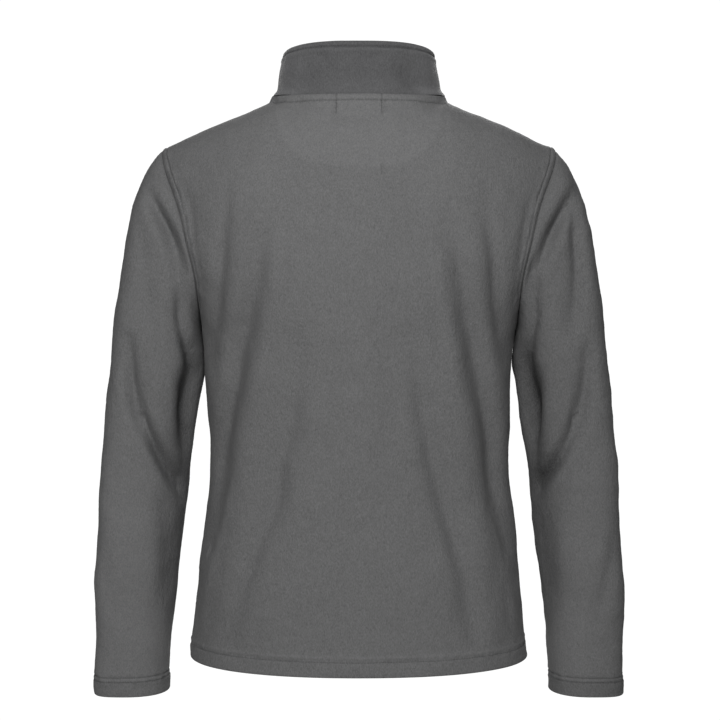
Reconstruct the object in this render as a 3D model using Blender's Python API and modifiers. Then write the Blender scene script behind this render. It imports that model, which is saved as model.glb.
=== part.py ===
"""Fleece zip jacket in its worn, hollow form, with a closed front zip.

Metres, +Z up. The front faces -Y and the wearer's left is +X. The origin is the middle of the
neck opening, level with the neck ends of the shoulders. Every cloth piece is a wall between
an outer and an inner surface. Pieces that are sewn together share their seam line and the
direction that the wall has there, and each stops half a seam gap short of it.
"""

import math
from collections import namedtuple

import bpy
import numpy as np

OBJECT_NAME = "fleece_zip_jacket"

# Cloth
CLOTH = 0.0024  # one layer of fleece
DOUBLE_CLOTH = 0.0044  # turned hems and the two-layer collar
SEAM_GAP = 0.0003
HEM_HEIGHT = 0.0185
HEM_THINS_OVER = 0.0120  # the double hem becomes single over this width beside the zip
CUFF_HEIGHT = 0.0200
BAND_RISE = 0.0008  # how far a topstitched band stands above the cloth beside it
BAND_EDGE = 0.0015  # slope at the edge of a band
ARMHOLE_BAND = 0.0090
NECK_BAND = 0.0075
COLLAR_EDGE = 0.0066  # topstitched edge along the collar's top

# Body
HEM_Z = -0.678
ARMPIT_Z = -0.270
WAIST_DIP = 0.028  # the last level row is this much lower at the centre than at the armpit
BODY_ROUND = 2.20  # exponent of the superellipse that a level cut through the body follows
SHOULDER_ROUND = 3.2  # exponent of the curve that closes the body towards the shoulder seams
ROW_EASE = 1.6  # spacing of the rows between armpit and shoulder
SPREAD_POWER = 3.0  # how a column moves sideways from its place at the armpit to its top end
Section = namedtuple("Section", "z half_width back_depth front_depth")
BODY = (
    Section(-0.678, 0.2072, 0.1380, 0.1340),
    Section(-0.615, 0.2014, 0.1350, 0.1315),
    Section(-0.570, 0.1970, 0.1330, 0.1300),
    Section(-0.526, 0.1920, 0.1300, 0.1285),
    Section(-0.466, 0.1860, 0.1270, 0.1275),
    Section(-0.414, 0.1846, 0.1280, 0.1290),
    Section(-0.340, 0.1878, 0.1330, 0.1330),
    Section(-0.270, 0.1945, 0.1380, 0.1360),
    # Above the armpit these are the sizes that the closing curve starts from.
    Section(-0.200, 0.2280, 0.1430, 0.1380),
    Section(-0.130, 0.2500, 0.1440, 0.1380),
    Section(-0.050, 0.2680, 0.1420, 0.1370),
    Section(0.020, 0.2800, 0.1400, 0.1360),
)

# Armhole seam, from the shoulder tip down to the armpit
Armhole = namedtuple("Armhole", "z back_x back_y front_x front_y")
ARMHOLE = (
    Armhole(-0.0550, 0.2430, 0.000, 0.2430, 0.000),
    Armhole(-0.0700, 0.2400, 0.025, 0.2385, -0.023),
    Armhole(-0.1000, 0.2290, 0.048, 0.2260, -0.042),
    Armhole(-0.1370, 0.2150, 0.065, 0.2110, -0.055),
    Armhole(-0.1780, 0.2050, 0.073, 0.2010, -0.059),
    Armhole(-0.2150, 0.1965, 0.067, 0.1950, -0.053),
    Armhole(-0.2450, 0.1940, 0.044, 0.1935, -0.034),
    Armhole(-0.2700, 0.1950, 0.000, 0.1950, 0.000),
)

# Shoulder seam: straight, but for a short rise at the collar
SHOULDER_SLOPE = 0.4000
NECK_RISE_SIDE, NECK_RISE_MIDDLE = 0.0102, 0.0075
NECK_RISE_WIDTH = 0.0060
SHOULDER_SPACING = 1.15  # power that crowds the seam's points towards the collar
SEAM_REACH = 4  # power by which a panel is drawn to the armhole line, from its middle outwards
PIT_REACH, PIT_FADE = 26, 0.08  # what is added to it at the armpit, and how soon it fades above
LINE_SAMPLES = 721

# Collar: base line and top edge, each an oval that rises and falls along its length. A power
# below 1 makes an oval fuller.
Oval = namedtuple("Oval", "half_width back_y front_y back_z side_z front_z power")
NECKLINE = Oval(0.1045, 0.0850, -0.0980, -0.0010, 0.0106, -0.0450, 1.0)
COLLAR_TOP = Oval(0.0932, 0.0700, -0.0880, 0.0655, 0.0600, 0.0300, 0.76)
BACK_LEVEL, FRONT_LEVEL = 1, 2  # powers by which an oval leaves its side height, behind and before
COLLAR_BOW = 0.0016
COLLAR_FLARE, FLARE_PART = 0.0038, 0.09  # how the collar spreads just above its seam
FLARE_ROW = 0.10
NECK_SEAM_TILT = 0.45  # rise of the wall's direction at the collar seam, for each unit outwards

# Sleeve: the outer and inner ends of each ring, how far forward its middle lies, half its depth
Ring = namedtuple("Ring", "outer_x outer_z inner_x inner_z middle_y half_depth")
SLEEVE = (
    Ring(0.2430, -0.0550, 0.1950, -0.2700, 0.000, 0.0610),
    Ring(0.2535, -0.0695, 0.1954, -0.2750, -0.001, 0.0650),
    Ring(0.2672, -0.0950, 0.1949, -0.2830, -0.003, 0.0685),
    Ring(0.2782, -0.1290, 0.1932, -0.2940, -0.005, 0.0705),
    Ring(0.2868, -0.1700, 0.1917, -0.3070, -0.006, 0.0715),
    Ring(0.2922, -0.2130, 0.1916, -0.3240, -0.007, 0.0715),
    Ring(0.2980, -0.2560, 0.1947, -0.3450, -0.007, 0.0705),
    Ring(0.3034, -0.3060, 0.1987, -0.3680, -0.007, 0.0690),
    Ring(0.3084, -0.3560, 0.2036, -0.3950, -0.007, 0.0670),
    Ring(0.3134, -0.4030, 0.2082, -0.4260, -0.008, 0.0650),
    Ring(0.3176, -0.4560, 0.2123, -0.4650, -0.010, 0.0630),
    Ring(0.3222, -0.5200, 0.2186, -0.5220, -0.015, 0.0600),
    Ring(0.3270, -0.5820, 0.2276, -0.5820, -0.022, 0.0560),
    Ring(0.3292, -0.6380, 0.2344, -0.6380, -0.030, 0.0520),
    Ring(0.3308, -0.6920, 0.2396, -0.6920, -0.037, 0.0485),
    Ring(0.3320, -0.7328, 0.2413, -0.7328, -0.042, 0.0465),
)
ROUND_OUTSIDE, ROUND_INSIDE = 3.6, 2.1  # how square each half of a ring is
CAP_RINGS = 5.0  # table rows over which the armhole's own outline fades into round rings

# Zip, with depths counted inwards from the face of the cloth
PLACKET_X = 0.0065  # edge of each front, from the middle
TAPE_INNER_X = 0.0017
TAPE_OUTER_X = 0.0155
TAPE = 0.0010
TEETH_INNER_X = 0.00015
TEETH_OUTER_X = 0.0032
TEETH_TOP_DEPTH = 0.0004
TEETH_BACK_DEPTH = 0.0024
TAPE_FROM_HEM = 0.0030
TAPE_FROM_TOP = 0.0050
BOX_START, BOX_LENGTH = 0.0050, 0.0090
SLIDER_FROM_TOP = 0.0220
STOP_ABOVE_SLIDER = 0.0075
STOP_INNER_X, STOP_OUTER_X, STOP_LENGTH = 0.0006, 0.0036, 0.0030
BOX_HALF_WIDTH, BOX_PROUD = 0.0042, 0.0006
SMALL_EDGE, BOX_EDGE = 0.0003, 0.0006  # eased edges of the small hard pieces
PATH_STEP = 0.0040  # half of the length over which the zip's slope is read

# Slider and pull tab
SLIDER_WIDTH, SLIDER_LENGTH = 0.0092, 0.0110
PLATE_EDGE = 0.0004
FRONT_PLATE = 0.0013
BACK_PLATE = 0.0012
POST_HALF_WIDTH = 0.0012
POST_START, POST_END = 0.0012, 0.0048
BAIL_HALF_WIDTH = 0.0009
BAIL_HALF_LENGTH = 0.0034
BAIL_WALL = 0.0010
BAIL_HEIGHT = 0.0045
BAIL_ROOT, BAIL_CUT = 0.0003, 0.0001  # how far the bail and its eye reach into the front plate
HINGE_HEIGHT = 0.0024
PULL_WIDTH, PULL_LENGTH, PULL_THICK = 0.0066, 0.0260, 0.0010
PULL_BAR = 0.0006  # half of the bar that turns inside the bail
PULL_EYE_HALF_WIDTH, PULL_EYE_END = 0.0016, 0.0048

# Main folds. Each runs through a few places seen from the back or the front, as x and z. A
# negative rise is a trough, a positive one a ridge. lean is how wide the flank away from the
# middle is, as a share of the other one.
Fold = namedtuple("Fold", "rise half_width path lean", defaults=(1.0,))
BACK_FOLDS = (
    Fold(-0.0145, 0.0190, ((0.112, -0.169), (0.1295, -0.246), (0.146, -0.303), (0.152, -0.338),
                           (0.164, -0.385), (0.170, -0.431), (0.172, -0.470), (0.180, -0.530)), 0.5),
    Fold(0.0050, 0.0200, ((0.093, -0.186), (0.098, -0.246), (0.109, -0.300), (0.131, -0.385),
                          (0.146, -0.477), (0.165, -0.545))),
    Fold(-0.0065, 0.0095, ((0.153, -0.120), (0.163, -0.203), (0.168, -0.246), (0.178, -0.310))),
    Fold(-0.0030, 0.0100, ((0.089, -0.108), (0.086, -0.177), (0.093, -0.246), (0.100, -0.315))),
    Fold(-0.0080, 0.0130, ((0.072, -0.290), (0.080, -0.385), (0.093, -0.431), (0.099, -0.477),
                           (0.118, -0.524), (0.134, -0.570), (0.152, -0.640))),
    Fold(-0.0145, 0.0190, ((-0.110, -0.160), (-0.127, -0.246), (-0.1405, -0.303), (-0.148, -0.338),
                           (-0.162, -0.397), (-0.168, -0.455), (-0.172, -0.490), (-0.177, -0.540)), 0.5),
    Fold(0.0050, 0.0200, ((-0.088, -0.186), (-0.094, -0.246), (-0.105, -0.300), (-0.125, -0.385),
                          (-0.142, -0.477), (-0.162, -0.545))),
    Fold(-0.0070, 0.0100, ((-0.150, -0.144), (-0.159, -0.197), (-0.165, -0.250), (-0.175, -0.315))),
    Fold(-0.0030, 0.0100, ((-0.080, -0.189), (-0.088, -0.258), (-0.096, -0.327))),
    Fold(-0.0095, 0.0130, ((-0.060, -0.290), (-0.075, -0.370), (-0.087, -0.431), (-0.100, -0.477),
                           (-0.114, -0.524), (-0.126, -0.575), (-0.136, -0.650))),
    Fold(0.0030, 0.0300, ((0.0, -0.080), (0.0, -0.300), (0.0, -0.560))),
)
FRONT_FOLDS = (
    Fold(-0.0100, 0.0130, ((0.130, -0.165), (0.142, -0.280), (0.158, -0.390), (0.172, -0.520))),
    Fold(0.0045, 0.0190, ((0.104, -0.200), (0.114, -0.300), (0.134, -0.400), (0.158, -0.530))),
    Fold(-0.0060, 0.0130, ((0.080, -0.250), (0.086, -0.370), (0.102, -0.480), (0.128, -0.610))),
    Fold(-0.0100, 0.0130, ((-0.126, -0.160), (-0.138, -0.280), (-0.152, -0.400), (-0.172, -0.530))),
    Fold(0.0045, 0.0190, ((-0.100, -0.200), (-0.110, -0.310), (-0.130, -0.420), (-0.156, -0.530))),
    Fold(-0.0060, 0.0130, ((-0.070, -0.260), (-0.080, -0.380), (-0.098, -0.490), (-0.124, -0.620))),
)
# The sleeves' folds are told by their distance from the middle, and the front ones are alike.
SLEEVE_LEFT_FOLDS = (
    Fold(-0.0150, 0.0085, ((0.254, -0.114), (0.239, -0.142), (0.226, -0.168), (0.212, -0.208))),
    Fold(-0.0085, 0.0085, ((0.226, -0.190), (0.213, -0.231), (0.211, -0.267), (0.203, -0.303),
                           (0.197, -0.350))),
    Fold(-0.0130, 0.0130, ((0.200, -0.305), (0.197, -0.360), (0.201, -0.410), (0.208, -0.450))),
    Fold(-0.0150, 0.0090, ((0.276, -0.290), (0.273, -0.345), (0.263, -0.383), (0.245, -0.418),
                           (0.225, -0.455), (0.207, -0.490))),
    Fold(-0.0030, 0.0090, ((0.262, -0.150), (0.256, -0.215), (0.248, -0.285))),
    Fold(-0.0050, 0.0120, ((0.238, -0.475), (0.232, -0.540), (0.240, -0.620))),
)
SLEEVE_RIGHT_FOLDS = (
    Fold(-0.0160, 0.0085, ((0.256, -0.116), (0.242, -0.144), (0.230, -0.167), (0.214, -0.208))),
    Fold(-0.0095, 0.0095, ((0.263, -0.100), (0.262, -0.160), (0.262, -0.215), (0.256, -0.285))),
    Fold(-0.0080, 0.0085, ((0.204, -0.195), (0.206, -0.231), (0.208, -0.267), (0.200, -0.303),
                           (0.196, -0.350))),
    Fold(-0.0150, 0.0140, ((0.202, -0.305), (0.198, -0.360), (0.201, -0.410), (0.208, -0.450))),
    Fold(-0.0130, 0.0095, ((0.274, -0.300), (0.272, -0.345), (0.263, -0.383), (0.248, -0.418),
                           (0.226, -0.455), (0.207, -0.490))),
    Fold(-0.0040, 0.0095, ((0.314, -0.522), (0.303, -0.583), (0.292, -0.638))),
    Fold(-0.0045, 0.0110, ((0.225, -0.490), (0.229, -0.550), (0.238, -0.620))),
)
SLEEVE_FRONT_FOLDS = (
    Fold(-0.0080, 0.0090, ((0.256, -0.112), (0.238, -0.145), (0.218, -0.190))),
    Fold(-0.0100, 0.0110, ((0.300, -0.400), (0.262, -0.440), (0.216, -0.450))),
    Fold(-0.0070, 0.0110, ((0.306, -0.470), (0.270, -0.500), (0.224, -0.500))),
    Fold(-0.0060, 0.0120, ((0.255, -0.240), (0.240, -0.310), (0.225, -0.370))),
)
FOLD_CLEAR = 0.022  # folds fade out over this distance from a seam, a hem or the zip
FOLD_SAMPLES = 41
FOLD_LEAST_WIDTH = 0.0115  # narrower ones are drawn this wide here
FOLD_ENDS, FOLD_FULLNESS = 0.04, 0.6  # shape of a fold's strength along its length
FACING_FADE = (-0.02, 0.36)  # the sleeve's back and front folds fade where it turns sideways

# Mesh
HEM_ROWS = 2
BODY_ROWS = 14
ARMHOLE_ROWS = 12
LAST_EVEN_ROW, CLOSE_ROW = 0.90, 0.975  # the rows crowd towards the collar
NECK_COLUMNS = 6
SHOULDER_COLUMNS = 10
SLEEVE_ROWS = 27
EVEN_RINGS, RING_CROWDING = 0.62, 1.6  # share of even spacing, and the power of the rest
COLLAR_ROWS = 5

# Colour (linear RGB), roughness and metallic value of each material
Finish = namedtuple("Finish", "colour roughness metallic")
BODY_FLEECE = Finish((0.122, 0.122, 0.123, 1.0), 0.95, 0.0)
SLEEVE_FLEECE = Finish((0.118, 0.118, 0.119, 1.0), 0.95, 0.0)
COLLAR_FLEECE = Finish((0.084, 0.084, 0.086, 1.0), 0.95, 0.0)
ZIP_TAPE = Finish((0.030, 0.030, 0.032, 1.0), 0.85, 0.0)
ZIP_TEETH = Finish((0.022, 0.022, 0.024, 1.0), 0.40, 0.0)
ZIP_METAL = Finish((0.080, 0.080, 0.084, 1.0), 0.35, 1.0)

UP = np.array((0.0, 0.0, 1.0))
MIRROR = np.array((-1.0, 1.0, 1.0))


# ---------------------------------------------------------------- curves


def spline(knots, values, at):
    """Natural cubic spline through the values at the knots, read at some places."""
    knots = np.asarray(knots, float)
    values = np.asarray(values, float)
    at = np.asarray(at, float)
    steps = np.diff(knots)
    system = np.eye(len(knots))
    right = np.zeros(values.shape)
    for i in range(1, len(knots) - 1):
        system[i, i - 1 : i + 2] = steps[i - 1], 2 * (steps[i - 1] + steps[i]), steps[i]
        slopes = (values[i + 1] - values[i]) / steps[i], (values[i] - values[i - 1]) / steps[i - 1]
        right[i] = 6 * (slopes[0] - slopes[1])
    bend = np.linalg.solve(system, right)
    i = np.clip(np.searchsorted(knots, at, side="right") - 1, 0, len(knots) - 2)
    step = steps[i]
    before, after = at - knots[i], knots[i + 1] - at
    if values.ndim > 1:
        step, before, after = step[..., None], before[..., None], after[..., None]
    return (
        (bend[i] * after**3 + bend[i + 1] * before**3) / (6 * step)
        + (values[i] / step - bend[i] * step / 6) * after
        + (values[i + 1] / step - bend[i + 1] * step / 6) * before
    )


def smooth_step(low, high, value):
    part = np.clip((value - low) / (high - low), 0.0, 1.0)
    return part * part * (3 - 2 * part)


def unit(vectors):
    return vectors / np.maximum(np.linalg.norm(vectors, axis=-1, keepdims=True), 1e-12)


# ---------------------------------------------------------------- seam lines


def armhole(place):
    """Points of the armhole seam on +X: -1 is the armpit by way of the front, 0 the shoulder
    tip and 1 the armpit again by way of the back."""
    back = np.array([(row.back_x, row.back_y, row.z) for row in ARMHOLE])
    front = np.array([(row.front_x, row.front_y, row.z) for row in ARMHOLE])
    loop = np.concatenate([front[:0:-1], back])
    lengths = np.concatenate([[0], np.cumsum(np.linalg.norm(np.diff(loop, axis=0), axis=1))])
    tip = lengths[len(ARMHOLE) - 1]
    knots = np.where(lengths < tip, lengths / tip - 1, (lengths - tip) / (lengths[-1] - tip))
    return spline(knots, loop, place)


def armhole_rows():
    """Parts of the armhole's length at which it has points, from the armpit to the tip."""
    return np.concatenate([np.linspace(0, LAST_EVEN_ROW, ARMHOLE_ROWS - 1), [CLOSE_ROW, 1]])


def armhole_around():
    """Places of a whole ring round the armhole, from the armpit by way of the front."""
    rows = armhole_rows()
    return np.concatenate([rows - 1, 1 - rows[-2::-1]])


def armhole_axis():
    """Unit vector along the sleeve, square to the plane of the armhole."""
    rise = armhole(0.0) - armhole(1.0)
    return unit(np.array((rise[2], 0.0, -rise[0])))


def armhole_outwards(place):
    """Unit vectors in the armhole's plane, away from its middle."""
    small = 1e-3
    low, high = np.clip(place - small, -1, 1), np.clip(place + small, -1, 1)
    along = armhole(high) - armhole(low)
    away = unit(np.cross(np.broadcast_to(armhole_axis(), along.shape), along))
    away *= np.sign(away[len(away) // 2] @ UP)
    away[[0, -1]] = unit(armhole(1.0) - armhole(0.0))
    return away


def oval_point(oval, turn):
    """Point of a neck oval: turn is 0 at the centre back, a quarter circle at the side."""
    back = np.cos(turn) > 0
    level = np.abs(np.cos(turn)) ** np.where(back, BACK_LEVEL, FRONT_LEVEL)
    x = oval.half_width * np.abs(np.sin(turn)) ** oval.power
    depth = np.where(back, oval.back_y, oval.front_y) * np.abs(np.cos(turn)) ** oval.power
    z = oval.side_z + (np.where(back, oval.back_z, oval.front_z) - oval.side_z) * level
    return np.stack([x, depth, z], axis=-1)


def shoulder(place):
    """Points of the shoulder's straight line, from 0 at the collar to 1 at the tip."""
    tip = ARMHOLE[0]
    x = NECKLINE.half_width + (tip.back_x - NECKLINE.half_width) * place**SHOULDER_SPACING
    return np.stack([x, np.zeros_like(x), tip.z + (tip.back_x - x) * SHOULDER_SLOPE], axis=-1)


def front_turn(x):
    """Turn at which the front half of the neckline is this far from the middle."""
    return math.pi - math.asin(x / NECKLINE.half_width)


# ---------------------------------------------------------------- body panels


def body_section(z):
    heights = [row.z for row in BODY]
    sizes = [(row.half_width, row.back_depth, row.front_depth) for row in BODY]
    return np.moveaxis(spline(heights, sizes, z), -1, 0)


def low_neckline(turns):
    """The neckline before the cloth beside it rises to the collar, and that rise."""
    rise = NECK_RISE_MIDDLE + (NECK_RISE_SIDE - NECK_RISE_MIDDLE) * np.sin(turns) ** 2
    return oval_point(NECKLINE, turns) - rise[..., None] * UP, rise


def neck_rise(points):
    """How far the cloth rises towards the collar, by its distance from the neckline."""
    line, rise = low_neckline(np.linspace(0, math.pi, LINE_SAMPLES))
    gaps = np.linalg.norm(points[..., None, :] - line, axis=-1)
    return rise[gaps.argmin(axis=-1)] * np.exp(-((gaps.min(axis=-1) / NECK_RISE_WIDTH) ** 2))


def panel_tops(front):
    """Top end of each column of a body panel, before the rise to the collar."""
    turns = np.linspace(front_turn(TAPE_OUTER_X) if front else 0.0, math.pi / 2, NECK_COLUMNS + 1)
    if front:
        turns = np.concatenate([[front_turn(PLACKET_X)], turns])
    seam = shoulder(np.linspace(0, 1, SHOULDER_COLUMNS + 1)[1:])
    return np.concatenate([low_neckline(turns)[0], seam])


def low_heights(part):
    """Heights of the rows from the hem up to the armpit, which dip towards the middle."""
    top = ARMPIT_Z - WAIST_DIP * (1 - part**2)
    start = HEM_Z + HEM_HEIGHT + BAND_EDGE
    rise = start + (top - start) * np.linspace(0, 1, BODY_ROWS + 1)
    return np.concatenate([[HEM_Z, HEM_Z + HEM_HEIGHT], rise])


def body_depth(x, z, front):
    """How far the body reaches back or forward of its sides at a place."""
    half_width, back_depth, front_depth = body_section(z)
    ratio = np.clip(x / half_width, 0, 1)
    return (front_depth if front else back_depth) * (1 - ratio**BODY_ROUND) ** (1 / BODY_ROUND)


def column(part, x_start, top, front):
    """One column of a body panel, from the hem to its top end. part is 0 at x_start and 1 at
    the side seam. Above the armpit the depth closes along a quarter of a superellipse, as far
    round it as the top end lies."""
    z = low_heights(part)
    half_width = body_section(z)[0]
    x = x_start + (half_width - x_start) * np.sin(part * math.pi / 2) ** (2 / BODY_ROUND)
    closing = np.ones_like(z)
    full = body_depth(top[0], top[2:], front)[0]
    end = math.acos(min(abs(top[1]) / full, 1.0) ** (SHOULDER_ROUND / 2))
    v = armhole_rows()[1:]
    turn = end * v**ROW_EASE
    ridge = (top[2] - z[-1]) / math.sin(end)
    x = np.concatenate([x, x[-1] + (top[0] - x[-1]) * v**SPREAD_POWER])
    z = np.concatenate([z, z[-1] + ridge * np.sin(turn)])
    closing = np.concatenate([closing, np.maximum(np.cos(turn), 0) ** (2 / SHOULDER_ROUND)])
    y = body_depth(x, z, front) * closing
    return np.stack([x, -y if front else y, z], axis=-1)


def body_panel(front):
    """Outer surface of half of the back, or of the front on +X, as rows of points.
    A front starts with two columns a tape's width apart, beside the zip."""
    tops = panel_tops(front)
    count = NECK_COLUMNS + SHOULDER_COLUMNS
    parts = np.linspace(0, 1, count + 1)
    starts = np.full(count + 1, TAPE_OUTER_X if front else 0.0)
    if front:
        parts, starts = np.concatenate([[0], parts]), np.concatenate([[PLACKET_X], starts])
    grid = np.stack([column(*one, front) for one in zip(parts, starts, tops)], axis=1)
    upper = grid[HEM_ROWS + BODY_ROWS :]
    v = armhole_rows()
    miss = armhole((v - 1) if front else (1 - v)) - upper[:, -1]
    reach = SEAM_REACH + PIT_REACH * np.exp(-v[:, None] / PIT_FADE)
    upper += miss[:, None, :] * (parts**reach)[..., None]
    upper[..., 2] += neck_rise(upper)
    return grid


# ---------------------------------------------------------------- collar and sleeve


def collar_turns():
    back = np.linspace(0, math.pi / 2, NECK_COLUMNS + 1)
    front = np.linspace(math.pi / 2, front_turn(TAPE_OUTER_X), NECK_COLUMNS + 1)
    return np.concatenate([back, front[1:], [front_turn(PLACKET_X)]])


def collar_heights():
    """Parts of the collar's height at which it has rows."""
    height = COLLAR_TOP.back_z - NECKLINE.back_z
    edge = 1 - COLLAR_EDGE / height
    even = np.linspace(0, edge - BAND_EDGE / height, COLLAR_ROWS - 1)
    return np.concatenate([[0, FLARE_ROW], even[1:], [edge, 1]])


def collar_surface():
    """Outer surface of the collar on +X, from the centre back round to the zip."""
    turns = collar_turns()
    base = oval_point(NECKLINE, turns)
    top_turns = turns.copy()
    front_x = base[:, 0] / COLLAR_TOP.half_width
    near = turns > front_turn(TAPE_OUTER_X) - 1e-9  # the two columns beside the zip stay upright
    top_turns[near] = math.pi - np.arcsin(front_x[near] ** (1 / COLLAR_TOP.power))
    top = oval_point(COLLAR_TOP, top_turns)
    v = collar_heights()[:, None, None]
    bow = COLLAR_BOW * np.sin(math.pi * v) - COLLAR_FLARE * (1 - v - np.exp(-v / FLARE_PART))
    return base * (1 - v) + top * v + unit(base * (1, 1, 0)) * bow


def sleeve_surface():
    """Outer surface of the sleeve on +X, as rings from the armhole to the cuff. Each ring
    starts at the armpit and goes by way of the front, the top and the back."""
    count = len(SLEEVE) - 1
    body = np.linspace(0, 1, SLEEVE_ROWS - 1)
    places = count * (EVEN_RINGS * body + (1 - EVEN_RINGS) * body**RING_CROWDING)
    end = SLEEVE[-1].outer_z - SLEEVE[-2].outer_z
    cuff = count + CUFF_HEIGHT / end
    places = places * (cuff - BAND_EDGE / abs(end)) / count
    places = np.concatenate([places, [cuff, count]])
    rings = spline(np.arange(count + 1), np.array(SLEEVE), places)
    around = armhole_around()
    turn = around * math.pi
    square = 2 / np.where(np.cos(turn) > 0, ROUND_OUTSIDE, ROUND_INSIDE)
    round_axis = np.sign(np.cos(turn)) * np.abs(np.cos(turn)) ** square
    round_depth = np.sign(turn) * np.abs(np.sin(turn)) ** square
    seam = armhole(around)
    tip, pit = armhole(0.0), armhole(1.0)
    reach = tip - pit
    seam_axis = ((seam - pit) @ reach) / (reach @ reach) * 2 - 1
    seam_off = seam - (pit + reach * (seam_axis[:, None] + 1) / 2)
    grid = []
    for place, ring in zip(places, rings):
        outer_x, outer_z, inner_x, inner_z, middle_y, half_depth = ring
        own = max(0.0, 1 - place / CAP_RINGS) ** 2
        axis = own * seam_axis + (1 - own) * round_axis
        outer, inner = np.array((outer_x, 0, outer_z)), np.array((inner_x, 0, inner_z))
        points = (outer + inner) / 2 + (outer - inner) / 2 * axis[:, None]
        scale = half_depth / SLEEVE[0].half_depth
        depth = own * seam_off[:, 1] * scale + (1 - own) * half_depth * round_depth
        points[:, 1] = middle_y + depth
        points[:, 0] += own * seam_off[:, 0]
        points[:, 2] += own * seam_off[:, 2]
        grid.append(points)
    return np.array(grid)


# ---------------------------------------------------------------- folds and bands


def gradient_normals(grid, ring=False, mirrored_start=False):
    """Unit normals of a grid of points, pointing away from the garment's inside."""
    if ring:
        padded = np.concatenate([grid[:, -2:-1], grid, grid[:, 1:2]], axis=1)
        across = (padded[:, 2:] - padded[:, :-2]) / 2
    else:
        across = np.gradient(grid, axis=1)
    if mirrored_start:
        across[:, 0] = grid[:, 1] * (1, 0, 0)
    return unit(np.cross(across, np.gradient(grid, axis=0)))


def fold_rise(points, folds):
    """Height of the folds at some points, told by their x and z."""
    rise = np.zeros(points.shape[:-1])
    place = points[..., [0, 2]]
    part = np.linspace(0, 1, FOLD_SAMPLES)
    for fold in folds:
        line = spline(np.linspace(0, 1, len(fold.path)), fold.path, part)
        gaps = np.linalg.norm(place[..., None, :] - line, axis=-1)
        index = gaps.argmin(axis=-1)
        inside = FOLD_ENDS + (1 - 2 * FOLD_ENDS) * part[index]
        strength = np.sin(math.pi * inside) ** FOLD_FULLNESS
        beyond = np.abs(place[..., 0]) > np.abs(line[index, 0])
        half_width = fold.half_width * np.where(beyond, fold.lean, 1.0)
        half_width = np.maximum(half_width, FOLD_LEAST_WIDTH)
        rise += fold.rise * strength * np.exp(-((gaps.min(axis=-1) / half_width) ** 2))
    return rise


def lengths_along(grid, axis):
    """Distance of each point from the first row or column, along the surface."""
    steps = np.linalg.norm(np.diff(grid, axis=axis), axis=-1)
    start = np.zeros_like(steps.take([0], axis=axis))
    return np.concatenate([start, np.cumsum(steps, axis=axis)], axis=axis)


def band(distance, width):
    """1 inside a topstitched band that starts at distance 0, and 0 outside it."""
    return 1 - smooth_step(width, width + BAND_EDGE, distance)


def piece(outer, normals, rise, wall):
    """Outer and inner surface of a cloth piece."""
    outer = outer + normals * rise[..., None]
    return outer, outer - normals * wall[..., None]


# ---------------------------------------------------------------- objects


def start_scene():
    for item in list(bpy.data.objects):
        bpy.data.objects.remove(item, do_unlink=True)
    groups = []
    for name in (OBJECT_NAME, OBJECT_NAME + "_cutters"):
        group = bpy.data.collections.new(name)
        bpy.context.scene.collection.children.link(group)
        groups.append(group)
    groups[1].hide_render = True
    return groups


def material(name, finish):
    made = bpy.data.materials.new(name)
    made.use_nodes = True
    shader = made.node_tree.nodes["Principled BSDF"]
    shader.inputs["Base Color"].default_value = finish.colour
    shader.inputs["Roughness"].default_value = finish.roughness
    shader.inputs["Metallic"].default_value = finish.metallic
    made.diffuse_color = finish.colour
    return made


def add_mesh(name, points, faces, group, finish):
    """Object from points and faces, with its faces turned outwards."""
    points = np.asarray(points, float)
    volume = 0.0
    for face in faces:
        for i in range(1, len(face) - 1):
            a, b, c = points[[face[0], face[i], face[i + 1]]]
            volume += np.dot(a, np.cross(b, c))
    if volume < 0:
        faces = [face[::-1] for face in faces]
    mesh = bpy.data.meshes.new(name)
    mesh.from_pydata(points.tolist(), [], faces)
    mesh.materials.append(finish)
    mesh.shade_smooth()
    mesh.set_sharp_from_angle(angle=math.radians(50))
    made = bpy.data.objects.new(name, mesh)
    group.objects.link(made)
    return made


def wall_object(name, outer, inner, group, finish, ring=False):
    """Closed wall between two grids of points. A ring's last column repeats its first."""
    if ring:
        outer, inner = outer[:, :-1], inner[:, :-1]
    rows, columns = outer.shape[:2]
    points = np.concatenate([outer.reshape(-1, 3), inner.reshape(-1, 3)])
    last = columns if ring else columns - 1

    def corner(side, row, col):
        return side * rows * columns + row * columns + col % columns

    faces = []
    for row in range(rows - 1):
        for col in range(last):
            ends = (row, col), (row, col + 1), (row + 1, col + 1), (row + 1, col)
            faces.append([corner(0, *end) for end in ends])
            faces.append([corner(1, *end) for end in reversed(ends)])
    for row in (0, rows - 1):
        for col in range(last):
            edge = [corner(0, row, col + 1), corner(0, row, col), corner(1, row, col)]
            edge.append(corner(1, row, col + 1))
            faces.append(edge if row == 0 else edge[::-1])
    if not ring:
        for col in (0, columns - 1):
            for row in range(rows - 1):
                edge = [corner(0, row, col), corner(0, row + 1, col), corner(1, row + 1, col)]
                edge.append(corner(1, row, col))
                faces.append(edge if col == 0 else edge[::-1])
    return add_mesh(name, points, faces, group, finish)


def box(name, low, high, group, finish, bevel=0.0):
    """Box between two corners in its own axes, with its long edges eased."""
    bpy.ops.mesh.primitive_cube_add(size=1)
    made = bpy.context.object
    made.name = made.data.name = name
    for vertex in made.data.vertices:
        for axis in range(3):
            side = high if vertex.co[axis] > 0 else low
            vertex.co[axis] = side[axis]
    for owner in list(made.users_collection):
        owner.objects.unlink(made)
    group.objects.link(made)
    if finish:
        made.data.materials.append(finish)
    if bevel:
        ease = made.modifiers.new("eased edges", "BEVEL")
        ease.width = bevel
        ease.segments = 2
    return made


def boolean(target, tool, operation):
    step = target.modifiers.new(operation.lower() + " " + tool.name, "BOOLEAN")
    step.operation = operation
    step.solver = "EXACT"
    step.object = tool
    tool.hide_render = True
    tool.display_type = "WIRE"


# ---------------------------------------------------------------- cloth pieces


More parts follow.
